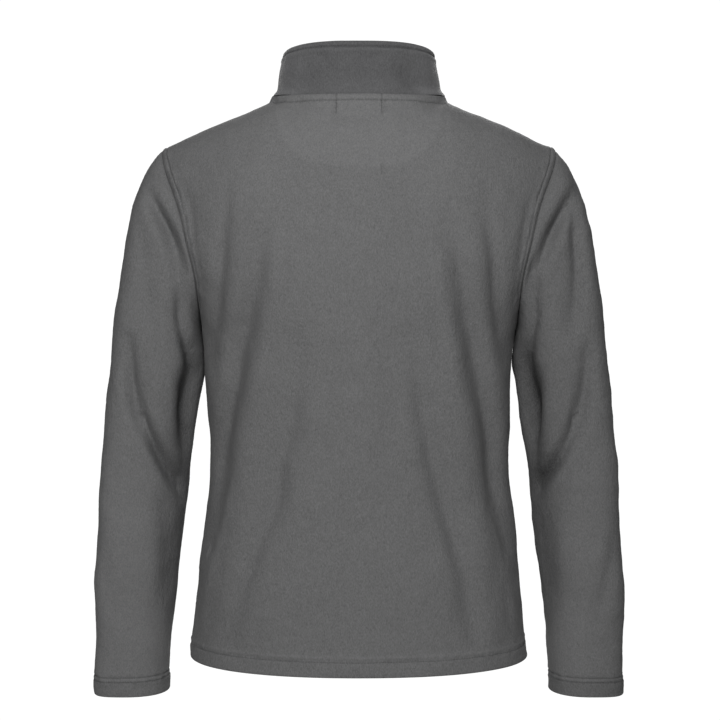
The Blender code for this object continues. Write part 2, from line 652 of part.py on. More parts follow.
def mirror(grid):
    return grid * MIRROR


def full_width(half):
    """Grid of the whole width from its +X half, which starts in the middle."""
    return np.concatenate([mirror(half[:, :0:-1]), half], axis=1)


def garment_surfaces():
    """Outer surfaces and unit normals of the +X halves, agreeing where pieces meet."""
    back, front = body_panel(False), body_panel(True)
    collar, sleeve = collar_surface(), sleeve_surface()
    back_normals = gradient_normals(back, mirrored_start=True)
    front_normals = -gradient_normals(front)
    collar_normals = gradient_normals(collar, mirrored_start=True)
    sleeve_normals = gradient_normals(sleeve, ring=True)
    sleeve_normals *= np.sign((sleeve_normals * (sleeve - sleeve.mean(axis=1)[:, None])).sum())
    for normals, grid in ((back_normals, back), (front_normals, front), (collar_normals, collar)):
        middle = grid.mean(axis=(0, 1)) * UP
        normals *= np.sign((normals * (grid - middle)).sum())
    low = HEM_ROWS + BODY_ROWS + 1
    side = unit(back_normals[:low, -1] + front_normals[:low, -1])
    back_normals[:low, -1] = front_normals[:low, -1] = side
    ridge = unit(back_normals[-1, NECK_COLUMNS:] + front_normals[-1, NECK_COLUMNS + 1 :])
    back_normals[-1, NECK_COLUMNS:] = front_normals[-1, NECK_COLUMNS + 1 :] = ridge
    outwards = armhole_outwards(armhole_around())
    sleeve_normals[0] = outwards
    back_normals[low - 1 :, -1] = outwards[: ARMHOLE_ROWS - 1 : -1]
    front_normals[low - 1 :, -1] = outwards[: ARMHOLE_ROWS + 1]
    side = NECK_COLUMNS
    collar_normals[0] = unit(unit(collar[0] * (1, 1, 0)) + UP * NECK_SEAM_TILT)
    back_normals[-1, : side + 1] = collar_normals[0, : side + 1]
    front_normals[-1, : side + 2] = collar_normals[0, : side - 1 : -1]
    return (
        (back, back_normals),
        (front, front_normals),
        (collar, collar_normals),
        (sleeve, sleeve_normals),
    )


def body_rise(grid, folds, zip_clear):
    """Raised bands and folds of a body panel, whose rows run from hem to top."""
    from_hem = grid[..., 2] - HEM_Z
    from_top = lengths_along(grid[::-1], 0)[::-1]
    low = HEM_ROWS + BODY_ROWS
    from_armhole = np.full(grid.shape[:2], 1.0)
    for side in (0, -1):
        if side == 0 and zip_clear:
            continue
        seam = grid[low:, side]
        gaps = np.linalg.norm(grid[:, :, None] - seam[None, None], axis=-1).min(axis=-1)
        from_armhole = np.minimum(from_armhole, gaps)
    neck = np.abs(grid[-1, :, 0]) <= NECKLINE.half_width + 1e-6
    raised = band(from_hem, HEM_HEIGHT)
    raised = np.maximum(raised, band(from_armhole, ARMHOLE_BAND))
    raised = np.maximum(raised, band(from_top, NECK_BAND) * neck)
    clear = smooth_step(0, FOLD_CLEAR, from_armhole) * smooth_step(0, FOLD_CLEAR, from_top)
    clear *= smooth_step(HEM_HEIGHT, HEM_HEIGHT + 2 * FOLD_CLEAR, from_hem)
    if zip_clear:
        clear *= smooth_step(TAPE_OUTER_X, TAPE_OUTER_X + FOLD_CLEAR, np.abs(grid[..., 0]))
    return BAND_RISE * raised + clear * fold_rise(grid, folds)


def body_wall(grid, zip_clear):
    """Thickness of a body panel: double at the hem, single beside the zip tape."""
    double = band(grid[..., 2] - HEM_Z, HEM_HEIGHT)
    if zip_clear:
        beside = TAPE_OUTER_X + HEM_THINS_OVER
        double = double * smooth_step(TAPE_OUTER_X, beside, np.abs(grid[..., 0]))
    return CLOTH + (DOUBLE_CLOTH - CLOTH) * double


def close_seams(surfaces, armhole_sides):
    """Leaves half a seam gap at a body panel's side seams, armholes and top edge."""
    low = HEM_ROWS + BODY_ROWS
    axis = armhole_axis()
    for side in armhole_sides:
        inwards = 1 if side == 0 else -2
        for surface in surfaces:
            seam = surface[: low + 1, side]
            seam += unit(surface[: low + 1, inwards] - seam) * SEAM_GAP / 2
            tilt = axis * (np.sign(surface[low + 1, side, 0]), 1, 1)
            surface[low:, side] -= tilt * SEAM_GAP / 2
    for surface in surfaces:
        surface[-1] += unit(surface[-2] - surface[-1]) * SEAM_GAP / 2


def make_back(half, half_normals, group, finish):
    grid = full_width(half)
    normals = full_width(half_normals)
    surfaces = piece(grid, normals, body_rise(grid, BACK_FOLDS, False), body_wall(grid, False))
    close_seams(surfaces, (0, -1))
    return wall_object("back", *surfaces, group, finish)


def make_front(name, grid, normals, group, finish):
    surfaces = piece(grid, normals, body_rise(grid, FRONT_FOLDS, True), body_wall(grid, True))
    close_seams(surfaces, (-1,))
    return wall_object(name, *surfaces, group, finish)


def make_collar(half, half_normals, group, finish):
    grid, normals = full_width(half), full_width(half_normals)
    v = collar_heights()[:, None]
    height = COLLAR_TOP.back_z - NECKLINE.back_z
    edge = band((1 - v) * height, COLLAR_EDGE)
    wall = np.full(grid.shape[:2], DOUBLE_CLOTH)
    wall[:, (0, 1, -2, -1)] = CLOTH
    surfaces = piece(grid, normals, BAND_RISE / 2 * edge, wall)
    for surface in surfaces:
        surface[0] += unit(surface[1] - surface[0]) * SEAM_GAP / 2
    return wall_object("collar", *surfaces, group, finish)


def make_sleeve(name, grid, normals, back_folds, group, finish):
    from_armhole = lengths_along(grid, 0)
    from_cuff = lengths_along(grid[::-1], 0)[::-1]
    cuff = band(from_cuff, CUFF_HEIGHT)
    clear = smooth_step(0, FOLD_CLEAR, from_armhole)
    clear = clear * smooth_step(CUFF_HEIGHT, CUFF_HEIGHT + FOLD_CLEAR, from_cuff)
    place = grid * (np.sign(grid[..., :1].sum()), 1, 1)
    behind = smooth_step(*FACING_FADE, normals[..., 1])
    before = smooth_step(*FACING_FADE, -normals[..., 1])
    folds = behind * fold_rise(place, back_folds)
    folds += before * fold_rise(place, SLEEVE_FRONT_FOLDS)
    outer, inner = piece(
        grid, normals, BAND_RISE * cuff + clear * folds, CLOTH + (DOUBLE_CLOTH - CLOTH) * cuff
    )
    shift = armhole_axis() * (np.sign(grid[0, 0, 0]), 1, 1) * SEAM_GAP / 2
    outer[0] += shift
    inner[0] += shift
    return wall_object(name, outer, inner, group, finish, ring=True)


# ---------------------------------------------------------------- zip


def zip_path(front, front_normals, collar, collar_normals):
    """Rows of three points with their normals along the +X side of the zip, hem to collar top:
    the middle, the edge of the front and the outer edge of the tape."""
    points, normals = [], []
    for grid, directions, columns in (
        (front, front_normals, (0, 1)),
        (collar[1:], collar_normals[1:], (-1, -2)),
    ):
        edge, outer = (grid[:, col] for col in columns)
        points.append(np.stack([edge * (0, 1, 1), edge, outer], axis=1))
        upright = directions[:, columns[0]] * (0, 1, 1)
        normals.append(np.stack([unit(upright), unit(upright), directions[:, columns[1]]], axis=1))
    return np.concatenate(points), np.concatenate(normals)


def cut_path(path, start, stop):
    """The stretch of the path between two lengths measured along it from the hem."""
    points, normals = path
    lengths = lengths_along(points[:, 1:2], 0)[:, 0]
    inside = lengths[(lengths > start + 1e-4) & (lengths < stop - 1e-4)]
    at = np.concatenate([[start], inside, [stop]])
    flat = np.concatenate([points, normals], axis=-1).reshape(len(lengths), -1)
    read = np.stack([np.interp(at, lengths, values) for values in flat.T], axis=-1)
    read = read.reshape(len(at), *points.shape[1:-1], 6)
    return read[..., :3], unit(read[..., 3:])


def strip(name, path, start, stop, sides, depths, side, group, finish):
    """Flat strip along the zip: sides are (start column, x shift) pairs of its edges."""
    points, normals = cut_path(path, start, stop)
    rows = [points[:, col] + np.array((shift, 0, 0)) for col, shift in sides]
    across = np.stack(rows, axis=1)
    facing = np.stack([normals[:, col] for col, _ in sides], axis=1)
    outer, inner = (across - facing * depth for depth in depths)
    turned = np.array((side, 1.0, 1.0))
    return wall_object(name, outer * turned, inner * turned, group, finish)


def place_on_path(path, length):
    """Location on the middle line of the zip and the tilt of its tangent about X."""
    below, above = (cut_path(path, length - PATH_STEP, end)[0] for end in (length, length + PATH_STEP))
    tangent = above[-1, 0] - above[0, 0]
    return below[-1, 0], math.atan2(-tangent[1], tangent[2])


def set_on_path(items, location, tilt):
    for item in items:
        item.location = location
        item.rotation_euler = (tilt, 0, 0)


def make_zip_rows(path, total, group, tape, teeth):
    """Tapes and the plain strips that hold the space of the teeth, on both sides."""
    behind = CLOTH + SEAM_GAP
    slider = total - SLIDER_FROM_TOP
    first_tooth = BOX_START + BOX_LENGTH + SEAM_GAP
    last_tooth = slider + POST_START - 2 * SEAM_GAP
    tape_sides = (0, TAPE_INNER_X), (1, 0.0), (2, 0.0)
    teeth_sides = (0, TEETH_INNER_X), (0, TEETH_OUTER_X)
    tape_run = TAPE_FROM_HEM, total - TAPE_FROM_TOP
    for word, side in (("left", 1.0), ("right", -1.0)):
        depths = behind, behind + TAPE
        strip("zip_tape_" + word, path, *tape_run, tape_sides, depths, side, group, tape)
        depths = TEETH_TOP_DEPTH, TEETH_BACK_DEPTH
        run = first_tooth, last_tooth
        strip("zip_teeth_" + word, path, *run, teeth_sides, depths, side, group, teeth)


def make_zip_ends(path, total, group, metal):
    """Top stops above the slider, and the box that holds the pin at the hem."""
    location, tilt = place_on_path(path, total - SLIDER_FROM_TOP + STOP_ABOVE_SLIDER)
    for word, side in (("left", 1.0), ("right", -1.0)):
        near, far = sorted((side * STOP_INNER_X, side * STOP_OUTER_X))
        low, high = (near, TEETH_TOP_DEPTH, 0.0), (far, TEETH_BACK_DEPTH, STOP_LENGTH)
        stop = box("zip_stop_" + word, low, high, group, metal, SMALL_EDGE)
        set_on_path([stop], location, tilt)
    location, tilt = place_on_path(path, BOX_START)
    low, high = (-BOX_HALF_WIDTH, -BOX_PROUD, 0.0), (BOX_HALF_WIDTH, TEETH_BACK_DEPTH, BOX_LENGTH)
    set_on_path([box("zip_box", low, high, group, metal, BOX_EDGE)], location, tilt)


def make_slider(location, tilt, group, cutters, metal):
    """Front and back plates joined by a post, with a bail on the front plate."""
    half_width, half_length = SLIDER_WIDTH / 2, SLIDER_LENGTH / 2
    behind = CLOTH + SEAM_GAP + TAPE + SEAM_GAP
    face = TEETH_TOP_DEPTH - SEAM_GAP
    low = (-half_width, face - FRONT_PLATE, -half_length)
    slider = box("zip_slider", low, (half_width, face, half_length), group, metal, PLATE_EDGE)
    low = (-half_width, behind, -half_length)
    high = (half_width, behind + BACK_PLATE, half_length)
    back_plate = box("back_plate", low, high, cutters, None, PLATE_EDGE)
    low = (-POST_HALF_WIDTH, face - FRONT_PLATE / 2, POST_START)
    high = (POST_HALF_WIDTH, behind + BACK_PLATE / 2, POST_END)
    post = box("post", low, high, cutters, None)
    plate_top = face - FRONT_PLATE
    low = (-BAIL_HALF_WIDTH, -BAIL_HEIGHT, -BAIL_HALF_LENGTH)
    bail = box("bail", low, (BAIL_HALF_WIDTH, plate_top + BAIL_ROOT, BAIL_HALF_LENGTH), cutters, None)
    inside = BAIL_HALF_LENGTH - BAIL_WALL
    low = (-2 * BAIL_HALF_WIDTH, -BAIL_HEIGHT + BAIL_WALL, -inside)
    eye = box("bail_eye", low, (2 * BAIL_HALF_WIDTH, plate_top + BAIL_CUT, inside), cutters, None)
    for tool in (back_plate, post, bail):
        boolean(slider, tool, "UNION")
    boolean(slider, eye, "DIFFERENCE")
    set_on_path([slider, back_plate, post, bail, eye], location, tilt)


def make_pull(location, tilt, group, cutters, metal):
    """Flat tab with an eye round the bail. Its origin is on the hinge axis."""
    half = PULL_WIDTH / 2
    low = (-half, -PULL_THICK / 2, -PULL_LENGTH)
    pull = box("zip_pull", low, (half, PULL_THICK / 2, PULL_BAR), group, metal, SMALL_EDGE)
    low = (-PULL_EYE_HALF_WIDTH, -PULL_THICK, -PULL_EYE_END)
    high = (PULL_EYE_HALF_WIDTH, PULL_THICK, -PULL_BAR)
    eye = box("pull_eye", low, high, cutters, None)
    boolean(pull, eye, "DIFFERENCE")
    outwards = np.array((0.0, -math.cos(tilt), -math.sin(tilt)))
    set_on_path([pull, eye], location + outwards * HINGE_HEIGHT, tilt)
    return pull


def main():
    group, cutters = start_scene()
    body_cloth = material("body_fleece", BODY_FLEECE)
    sleeve_cloth = material("sleeve_fleece", SLEEVE_FLEECE)
    collar_cloth = material("collar_fleece", COLLAR_FLEECE)
    tape = material("zip_tape", ZIP_TAPE)
    teeth = material("zip_teeth", ZIP_TEETH)
    metal = material("zip_metal", ZIP_METAL)

    back, front, collar, sleeve = garment_surfaces()
    make_back(*back, group, body_cloth)
    make_front("front_left", *front, group, body_cloth)
    make_front("front_right", mirror(front[0]), mirror(front[1]), group, body_cloth)
    make_collar(*collar, group, collar_cloth)
    make_sleeve("sleeve_left", *sleeve, SLEEVE_LEFT_FOLDS, group, sleeve_cloth)
    sleeve = mirror(sleeve[0]), mirror(sleeve[1])
    make_sleeve("sleeve_right", *sleeve, SLEEVE_RIGHT_FOLDS, group, sleeve_cloth)

    path = zip_path(*front, *collar)
    total = lengths_along(path[0][:, 1:2], 0)[-1, 0]
    make_zip_rows(path, total, group, tape, teeth)
    make_zip_ends(path, total, group, metal)
    location, tilt = place_on_path(path, total - SLIDER_FROM_TOP)
    make_slider(location, tilt, group, cutters, metal)
    make_pull(location, tilt, group, cutters, metal)


main()
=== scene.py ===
import math
from collections import namedtuple

import bpy
import numpy as np
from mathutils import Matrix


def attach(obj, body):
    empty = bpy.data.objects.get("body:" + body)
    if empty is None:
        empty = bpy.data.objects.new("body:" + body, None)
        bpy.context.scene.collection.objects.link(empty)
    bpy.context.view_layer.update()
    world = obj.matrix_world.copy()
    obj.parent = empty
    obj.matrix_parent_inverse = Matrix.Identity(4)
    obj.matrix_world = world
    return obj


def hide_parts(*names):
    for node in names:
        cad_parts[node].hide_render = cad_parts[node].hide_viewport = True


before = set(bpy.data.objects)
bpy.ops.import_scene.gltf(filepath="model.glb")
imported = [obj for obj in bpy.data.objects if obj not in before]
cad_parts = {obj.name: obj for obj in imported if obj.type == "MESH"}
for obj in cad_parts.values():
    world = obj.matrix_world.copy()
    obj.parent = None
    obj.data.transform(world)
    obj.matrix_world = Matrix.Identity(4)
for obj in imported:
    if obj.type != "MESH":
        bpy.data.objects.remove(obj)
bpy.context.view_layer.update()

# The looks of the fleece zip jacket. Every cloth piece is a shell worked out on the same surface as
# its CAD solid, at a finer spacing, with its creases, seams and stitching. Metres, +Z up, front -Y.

BODY = "jacket"

# ---- sizes, as the CAD has them, apart from NECK_BAND and NECK_SIDE_WIDTH

CLOTH = 0.0024
DOUBLE_CLOTH = 0.0044
SEAM_GAP = 0.0003
HEM_HEIGHT = 0.0185
HEM_THINS_OVER = 0.0120
CUFF_HEIGHT = 0.0200
BAND_RISE = 0.0008
BAND_EDGE = 0.0015
ARMHOLE_BAND = 0.0090
NECK_BAND = 0.0092
COLLAR_EDGE = 0.0066

HEM_Z = -0.678
ARMPIT_Z = -0.270
WAIST_DIP = 0.028
BODY_ROUND = 2.20
SHOULDER_ROUND = 3.2
ROW_EASE = 1.6
SPREAD_POWER = 3.0


def rows_of(kind, *rows):
    """Table rows from plain ones in millimetres."""
    return [kind(*(value / 1000 for value in row)) for row in rows]


Section = namedtuple("Section", "z half_width back_depth front_depth")
SECTIONS = rows_of(
    Section,
    (-678, 207.2, 138, 134),
    (-615, 201.4, 135, 131.5),
    (-570, 197, 133, 130),
    (-526, 192, 130, 128.5),
    (-466, 186, 127, 127.5),
    (-414, 184.6, 128, 129),
    (-340, 187.8, 133, 133),
    (-270, 194.5, 138, 136),
    (-200, 228, 143, 138),
    (-130, 250, 144, 138),
    (-50, 268, 142, 137),
    (20, 280, 140, 136),
)

Armhole = namedtuple("Armhole", "z back_x back_y front_x front_y")
ARMHOLE = rows_of(
    Armhole,
    (-55, 243, 0, 243, 0),
    (-70, 240, 25, 238.5, -23),
    (-100, 229, 48, 226, -42),
    (-137, 215, 65, 211, -55),
    (-178, 205, 73, 201, -59),
    (-215, 196.5, 67, 195, -53),
    (-245, 194, 44, 193.5, -34),
    (-270, 195, 0, 195, 0),
)

SHOULDER_SLOPE = 0.4000
NECK_RISE_SIDE, NECK_RISE_MIDDLE = 0.0102, 0.0075
NECK_RISE_WIDTH, NECK_SIDE_WIDTH = 0.0060, 0.0042
SHOULDER_SPACING = 1.15
SEAM_REACH = 4
PIT_REACH, PIT_FADE = 26, 0.08

Oval = namedtuple("Oval", "half_width back_y front_y back_z side_z front_z power")
NECKLINE = Oval(0.1045, 0.0850, -0.0980, -0.0010, 0.0106, -0.0450, 1.0)
COLLAR_TOP = Oval(0.0932, 0.0700, -0.0880, 0.0655, 0.0600, 0.0300, 0.76)
COLLAR_HEIGHT = COLLAR_TOP.back_z - NECKLINE.back_z
BACK_LEVEL, FRONT_LEVEL = 1, 2
COLLAR_BOW = 0.0016
COLLAR_FLARE, FLARE_PART = 0.0038, 0.09
NECK_SEAM_TILT = 0.45

Ring = namedtuple("Ring", "outer_x outer_z inner_x inner_z middle_y half_depth")
SLEEVE = rows_of(
    Ring,
    (243, -55, 195, -270, 0, 61),
    (253.5, -69.5, 195.4, -275, -1, 65),
    (267.2, -95, 194.9, -283, -3, 68.5),
    (278.2, -129, 193.2, -294, -5, 70.5),
    (286.8, -170, 191.7, -307, -6, 71.5),
    (292.2, -213, 191.6, -324, -7, 71.5),
    (298, -256, 194.7, -345, -7, 70.5),
    (303.4, -306, 198.7, -368, -7, 69),
    (308.4, -356, 203.6, -395, -7, 67),
    (313.4, -403, 208.2, -426, -8, 65),
    (317.6, -456, 212.3, -465, -10, 63),
    (322.2, -520, 218.6, -522, -15, 60),
    (327, -582, 227.6, -582, -22, 56),
    (329.2, -638, 234.4, -638, -30, 52),
    (330.8, -692, 239.6, -692, -37, 48.5),
    (332, -732.8, 241.3, -732.8, -42, 46.5),
)
ROUND_OUTSIDE, ROUND_INSIDE = 3.6, 2.1
CAP_RINGS = 5.0

PLACKET_X = 0.0065
TAPE_INNER_X, TAPE_OUTER_X = 0.0017, 0.0155
TAPE = 0.0010
TEETH_TOP_DEPTH, TEETH_BACK_DEPTH = 0.0004, 0.0024
TAPE_FROM_HEM, TAPE_FROM_TOP = 0.0030, 0.0050
FIRST_TOOTH = 0.0145
LAST_TOOTH_FROM_TOP = 0.0214

# ---- folds

Fold = namedtuple("Fold", "rise half_width lean path")


def folds(*rows):
    """Folds from rows of rise, half width, lean and the x and z of the path's points, in
    millimetres. lean is how wide the flank away from the middle is, as a share of the other one."""
    return [
        Fold(rise / 1000, width / 1000, lean, np.array(path) / 1000)
        for rise, width, lean, *path in rows
    ]


BACK_FOLDS = folds(
    (-14.5, 19, 0.5, (112, -169), (129.5, -246), (146, -303), (152, -338), (164, -385), (170, -431),
     (172, -470), (180, -530)),
    (5, 20, 1, (93, -186), (98, -246), (109, -300), (131, -385), (146, -477), (165, -545)),
    (-6.5, 9.5, 1, (153, -120), (163, -203), (168, -246), (178, -310)),
    (-3, 10, 1, (89, -108), (86, -177), (93, -246), (100, -315)),
    (-8, 13, 1, (72, -290), (80, -385), (93, -431), (99, -477), (118, -524), (134, -570), (152, -640)),
    (-14.5, 19, 0.5, (-110, -160), (-127, -246), (-140.5, -303), (-148, -338), (-162, -397),
     (-168, -455), (-172, -490), (-177, -540)),
    (5, 20, 1, (-88, -186), (-94, -246), (-105, -300), (-125, -385), (-142, -477), (-162, -545)),
    (-7, 10, 1, (-150, -144), (-159, -197), (-165, -250), (-175, -315)),
    (-3, 10, 1, (-80, -189), (-88, -258), (-96, -327)),
    (-9.5, 13, 1, (-60, -290), (-75, -370), (-87, -431), (-100, -477), (-114, -524), (-126, -575),
     (-136, -650)),
    (3, 30, 1, (0, -80), (0, -300), (0, -560)),
)
FRONT_FOLDS = folds(
    (-10, 13, 1, (130, -165), (142, -280), (158, -390), (172, -520)),
    (4.5, 19, 1, (104, -200), (114, -300), (134, -400), (158, -530)),
    (-6, 13, 1, (80, -250), (86, -370), (102, -480), (128, -610)),
    (-10, 13, 1, (-126, -160), (-138, -280), (-152, -400), (-172, -530)),
    (4.5, 19, 1, (-100, -200), (-110, -310), (-130, -420), (-156, -530)),
    (-6, 13, 1, (-70, -260), (-80, -380), (-98, -490), (-124, -620)),
)
# The sleeves' folds are told by their distance from the middle, and the front ones are alike.
SLEEVE_LEFT_FOLDS = folds(
    (-15, 8.5, 1, (254, -114), (239, -142), (226, -168), (212, -208)),
    (-8.5, 8.5, 1, (226, -190), (213, -231), (211, -267), (203, -303), (197, -350)),
    (-13, 13, 1, (200, -305), (197, -360), (201, -410), (208, -450)),
    (-15, 9, 1, (276, -290), (273, -345), (263, -383), (245, -418), (225, -455), (207, -490)),
    (-3, 9, 1, (262, -150), (256, -215), (248, -285)),
    (-5, 12, 1, (238, -475), (232, -540), (240, -620)),
)
SLEEVE_RIGHT_FOLDS = folds(
    (-16, 8.5, 1, (256, -116), (242, -144), (230, -167), (214, -208)),
    (-9.5, 9.5, 1, (263, -100), (262, -160), (262, -215), (256, -285)),
    (-8, 8.5, 1, (204, -195), (206, -231), (208, -267), (200, -303), (196, -350)),
    (-15, 14, 1, (202, -305), (198, -360), (201, -410), (208, -450)),
    (-13, 9.5, 1, (274, -300), (272, -345), (263, -383), (248, -418), (226, -455), (207, -490)),
    (-4, 9.5, 1, (314, -522), (303, -583), (292, -638)),
    (-4.5, 11, 1, (225, -490), (229, -550), (238, -620)),
)
SLEEVE_FRONT_FOLDS = folds(
    (-8, 9, 1, (256, -112), (238, -145), (218, -190)),
    (-10, 11, 1, (300, -400), (262, -440), (216, -450)),
    (-7, 11, 1, (306, -470), (270, -500), (224, -500)),
    (-6, 12, 1, (255, -240), (240, -310), (225, -370)),
)
FOLD_CLEAR, SLEEVE_CLEAR = 0.022, 0.010
FOLD_SAMPLES = 61
FOLD_ENDS, FOLD_FULLNESS = 0.04, 0.6
FACING_FADE = (-0.02, 0.36)

# Smaller creases, which only the looks have
BACK_CREASES = folds(
    (-2.2, 6, 1, (207, -110), (198, -165), (194, -215)),
    (-2.2, 6, 1, (-203, -125), (-194, -175), (-191, -225)),
    (2.8, 12, 1, (190, -262), (192, -290), (190, -320)),
    (1.8, 11, 1, (51, -330), (58, -410), (70, -470), (76, -545)),
    (1.6, 10, 1, (102, -190), (94, -250), (92, -320)),
    (2.4, 6, 1, (148, -455), (160, -502), (171.5, -548), (181, -583), (188, -630)),
    (1.6, 6, 1, (-160, -500), (-170, -545), (-180, -590), (-188, -635)),
    (-1.4, 6, 1, (-173, -560), (-176, -600), (-180, -645)),
    (-1.2, 11, 1, (20, -190), (27, -260), (20, -330)),
    (-1.2, 11, 1, (-30, -250), (-40, -320), (-36, -390)),
)
FRONT_CREASES = folds(
    (2.8, 12, 1, (190, -262), (192, -290), (190, -320)),
    (-2.2, 6, 1, (205, -115), (196, -165), (192, -215)),
    (-2.2, 6, 1, (-203, -125), (-194, -175), (-190, -225)),
    (-2, 10, 1, (50, -240), (44, -330), (56, -430)),
    (-2, 10, 1, (-46, -260), (-40, -350), (-54, -450)),
)
SLEEVE_LEFT_CREASES = folds(
    (-9, 10, 1, (212, -335), (208, -375), (211, -415)),
    (3, 6, 1, (211, -225), (204, -273), (192, -317)),
    (2, 8, 1, (262, -395), (250, -432), (234, -468)),
    (-1.5, 9, 1, (306, -540), (308, -590), (303, -630)),
)
SLEEVE_RIGHT_CREASES = folds(
    (-9, 10, 1, (212, -335), (208, -375), (211, -415)),
    (2.5, 6, 1, (202, -235), (198, -275), (194, -312)),
    (-3, 6, 1, (206, -200), (212, -222), (216, -240)),
    (2, 8, 1, (262, -410), (246, -440), (230, -470)),
    (-1.8, 9, 1, (243, -470), (236, -500), (226, -512)),
)
# Painted shade where the cloth lies deep between sleeve and body, and in the bend of the elbow:
# here the rise is the change of tone, in thousandths
SLEEVE_LEFT_PAINTED_SHADE = folds(
    (-450, 5.5, 1, (215, -285), (207, -308), (198.5, -332)),
    (-620, 9, 1, (206, -325), (209.5, -355), (208.5, -390), (206, -425)),
    (-350, 12, 1, (252, -405), (234.7, -432), (215, -462)),
)
SLEEVE_RIGHT_PAINTED_SHADE = folds(
    (-620, 9, 1, (199, -300), (203, -340), (205.5, -375), (207.5, -415)),
    (-450, 11, 1, (240, -425), (224, -450), (212, -475)),
)
SLEEVE_FRONT_CREASES = folds(
    (-3, 10, 1, (318, -520), (290, -540), (250, -545)),
    (-2.8, 10, 1, (310, -350), (282, -385), (236, -400)),
)
COLLAR_DENTS = folds(
    (-4.5, 9.5, 1, (-48, 32), (-66, 15), (-86, 4)),
    (-3, 11, 1, (6, 46), (-6, 30), (-2, 8)),
    (-2.6, 8.5, 1, (54, 50), (42, 42), (34, 24)),
    (-2.2, 8, 1, (-30, 52), (-20, 44), (10, 50)),
    (1.6, 11, 1, (80, 46), (76, 28), (82, 10)),
)

# Stitching and seams
SEAM_DIP, SEAM_WIDTH = 0.0011, 0.0022  # how the cloth rolls down into a sewn seam
SIDE_SEAM_PART = 0.25
STITCH_DIP, STITCH_WIDTH = 0.0010, 0.0014
ROLL_WIDTH = 0.0021  # of the soft roll that the cloth makes beside a row of stitches
HEM_ROLL, HEM_ROLL_RISE = 0.0228, 0.0010
COLLAR_ROLL, COLLAR_ROLL_RISE = 0.0112, 0.0013
ARMHOLE_ROLL, ARMHOLE_ROLL_RISE = 0.0112, 0.0004
# Painted shade in the grooves of seams and stitches, and painted highlight on the soft rolls beside them
SEAM_PAINTED_SHADE, STITCH_PAINTED_SHADE, HEM_STITCH_PAINTED_SHADE, ROLL_PAINTED_HIGHLIGHT = -0.22, -0.24, -0.08, 0.16
TONE_WIDTH = 0.0011
PUCKER, PUCKER_REACH, PUCKER_WAVE = 0.00030, 0.0070, 0.0150
STITCH_LENGTH, STITCH_GAP, THREAD = 0.0026, 0.0008, 0.00030
HEM_STITCH = 0.0176
CUFF_STITCHES = (0.0196, 0.0250)
ARMHOLE_STITCH = 0.0078
NECK_STITCH, NECK_WIDENS = 0.0090, 0.0030
COLLAR_STITCH = 0.0072
BASE_FLARE, BASE_FLARE_HEIGHT = 0.0032, 0.0060
BASE_FLARE_FROM = 0.070, 0.098
ZIP_STITCH_X = 0.0125
LABEL_HALF_WIDTH, LABEL_HEIGHT = 0.0266, 0.0260
# The label's stitch lines dip into the cloth, with painted shade in the dips
LABEL_DIP, LABEL_LINE, LABEL_LINE_PAINTED_SHADE = 0.0004, 0.0009, -0.30
LABEL_FOOT, LABEL_FOOT_WIDTH, LABEL_FOOT_TONE, LABEL_FOOT_ENDS = 0.036, 0.006, -0.07, (0.9, 1.3)
LABEL_COLUMNS = 0.0612 + 0.0009 * np.arange(-4, 5)  # parts of the back's width near its lines
MOON_HALF_WIDTH, MOON_DROP, MOON_ROUND = 0.0990, 0.0930, 2.7
# The half-moon under the neck stands a little proud, with painted light on it
MOON_RISE, MOON_EDGE, MOON_PAINTED_LIGHT = 0.0006, 0.0022, 0.10
FOREARM, FOREARM_PAINTED_LIGHT = (0.18, 0.42), 0.18  # painted light down the forearms
COLLAR_LOW, COLLAR_LOW_TONE = (0.004, 0.030), 0.12
COLLAR_SIDE, COLLAR_SIDE_PAINTED_LIGHT = (0.050, 0.092), 0.45  # painted light at the collar's sides
CUFF_TONE = -0.14
OUTER_SIDE = (0.270, 0.330)
RIGHT_PAINTED_SHADE, RIGHT_OUTER_PAINTED_SHADE = -0.08, -0.16  # painted shade on the back of the right sleeve, more on its outer side

# Nap and small unevenness of the cloth
NAP_RISE = 0.00010
SWELL, SWELL_WAVE = 0.0007, 0.085
RUMPLE, RUMPLE_WAVE = 0.00028, 0.032

# Mesh spacing
HEM_STEPS = np.array((0, 0.4, 1.1, 2.2, 4.5, 7.5, 10.5, 13, 14.8, 16, 16.8, 17.6, 18.4, 19.2, 20.2,
                      21.6, 23.5, 26.2)) / 1000
CUFF_STEPS = np.array((30, 28, 26.5, 25.7, 25, 24.3, 23.2, 21.8, 20.8, 20.2, 19.6, 19, 18.2, 16.8, 14,
                       11, 8, 5, 2.2, 1.1, 0.4, 0)) / 1000
COLLAR_STEPS = np.array((10.5, 9, 7.8, 7, 6.4, 5.9, 5.3, 4.6, 3.6, 2.2, 1.1, 0.4, 0)) / 1000
BODY_ROWS = 108
UPPER_ROWS = np.concatenate(
    [np.linspace(0, 0.955, 78) ** 0.8 * 0.955**0.2,
     (0.9600, 0.9650, 0.9695, 0.9735, 0.9770, 0.9800, 0.9825, 0.9848, 0.9870, 0.9892, 0.9915,
      0.9938, 0.9958, 0.9975, 0.9989, 1.0)]
)
EDGE_PARTS = 1 - np.array(
    (0.0440, 0.0400, 0.0365, 0.0335, 0.0308, 0.0284, 0.0262, 0.0242, 0.0222, 0.0200, 0.0178,
     0.0155, 0.0130, 0.0105, 0.0080, 0.0056, 0.0036, 0.0020, 0.0008, 0.0)
)
PANEL_COLUMNS = 58
NECK_PART = 6 / 16  # share of a panel's columns that end at the neckline
PLACKET_COLUMNS = 5
SLEEVE_COLUMNS = 156
SLEEVE_ROWS = 196

UP = np.array((0.0, 0.0, 1.0))
MIRROR = np.array((-1.0, 1.0, 1.0))


# ---- curves


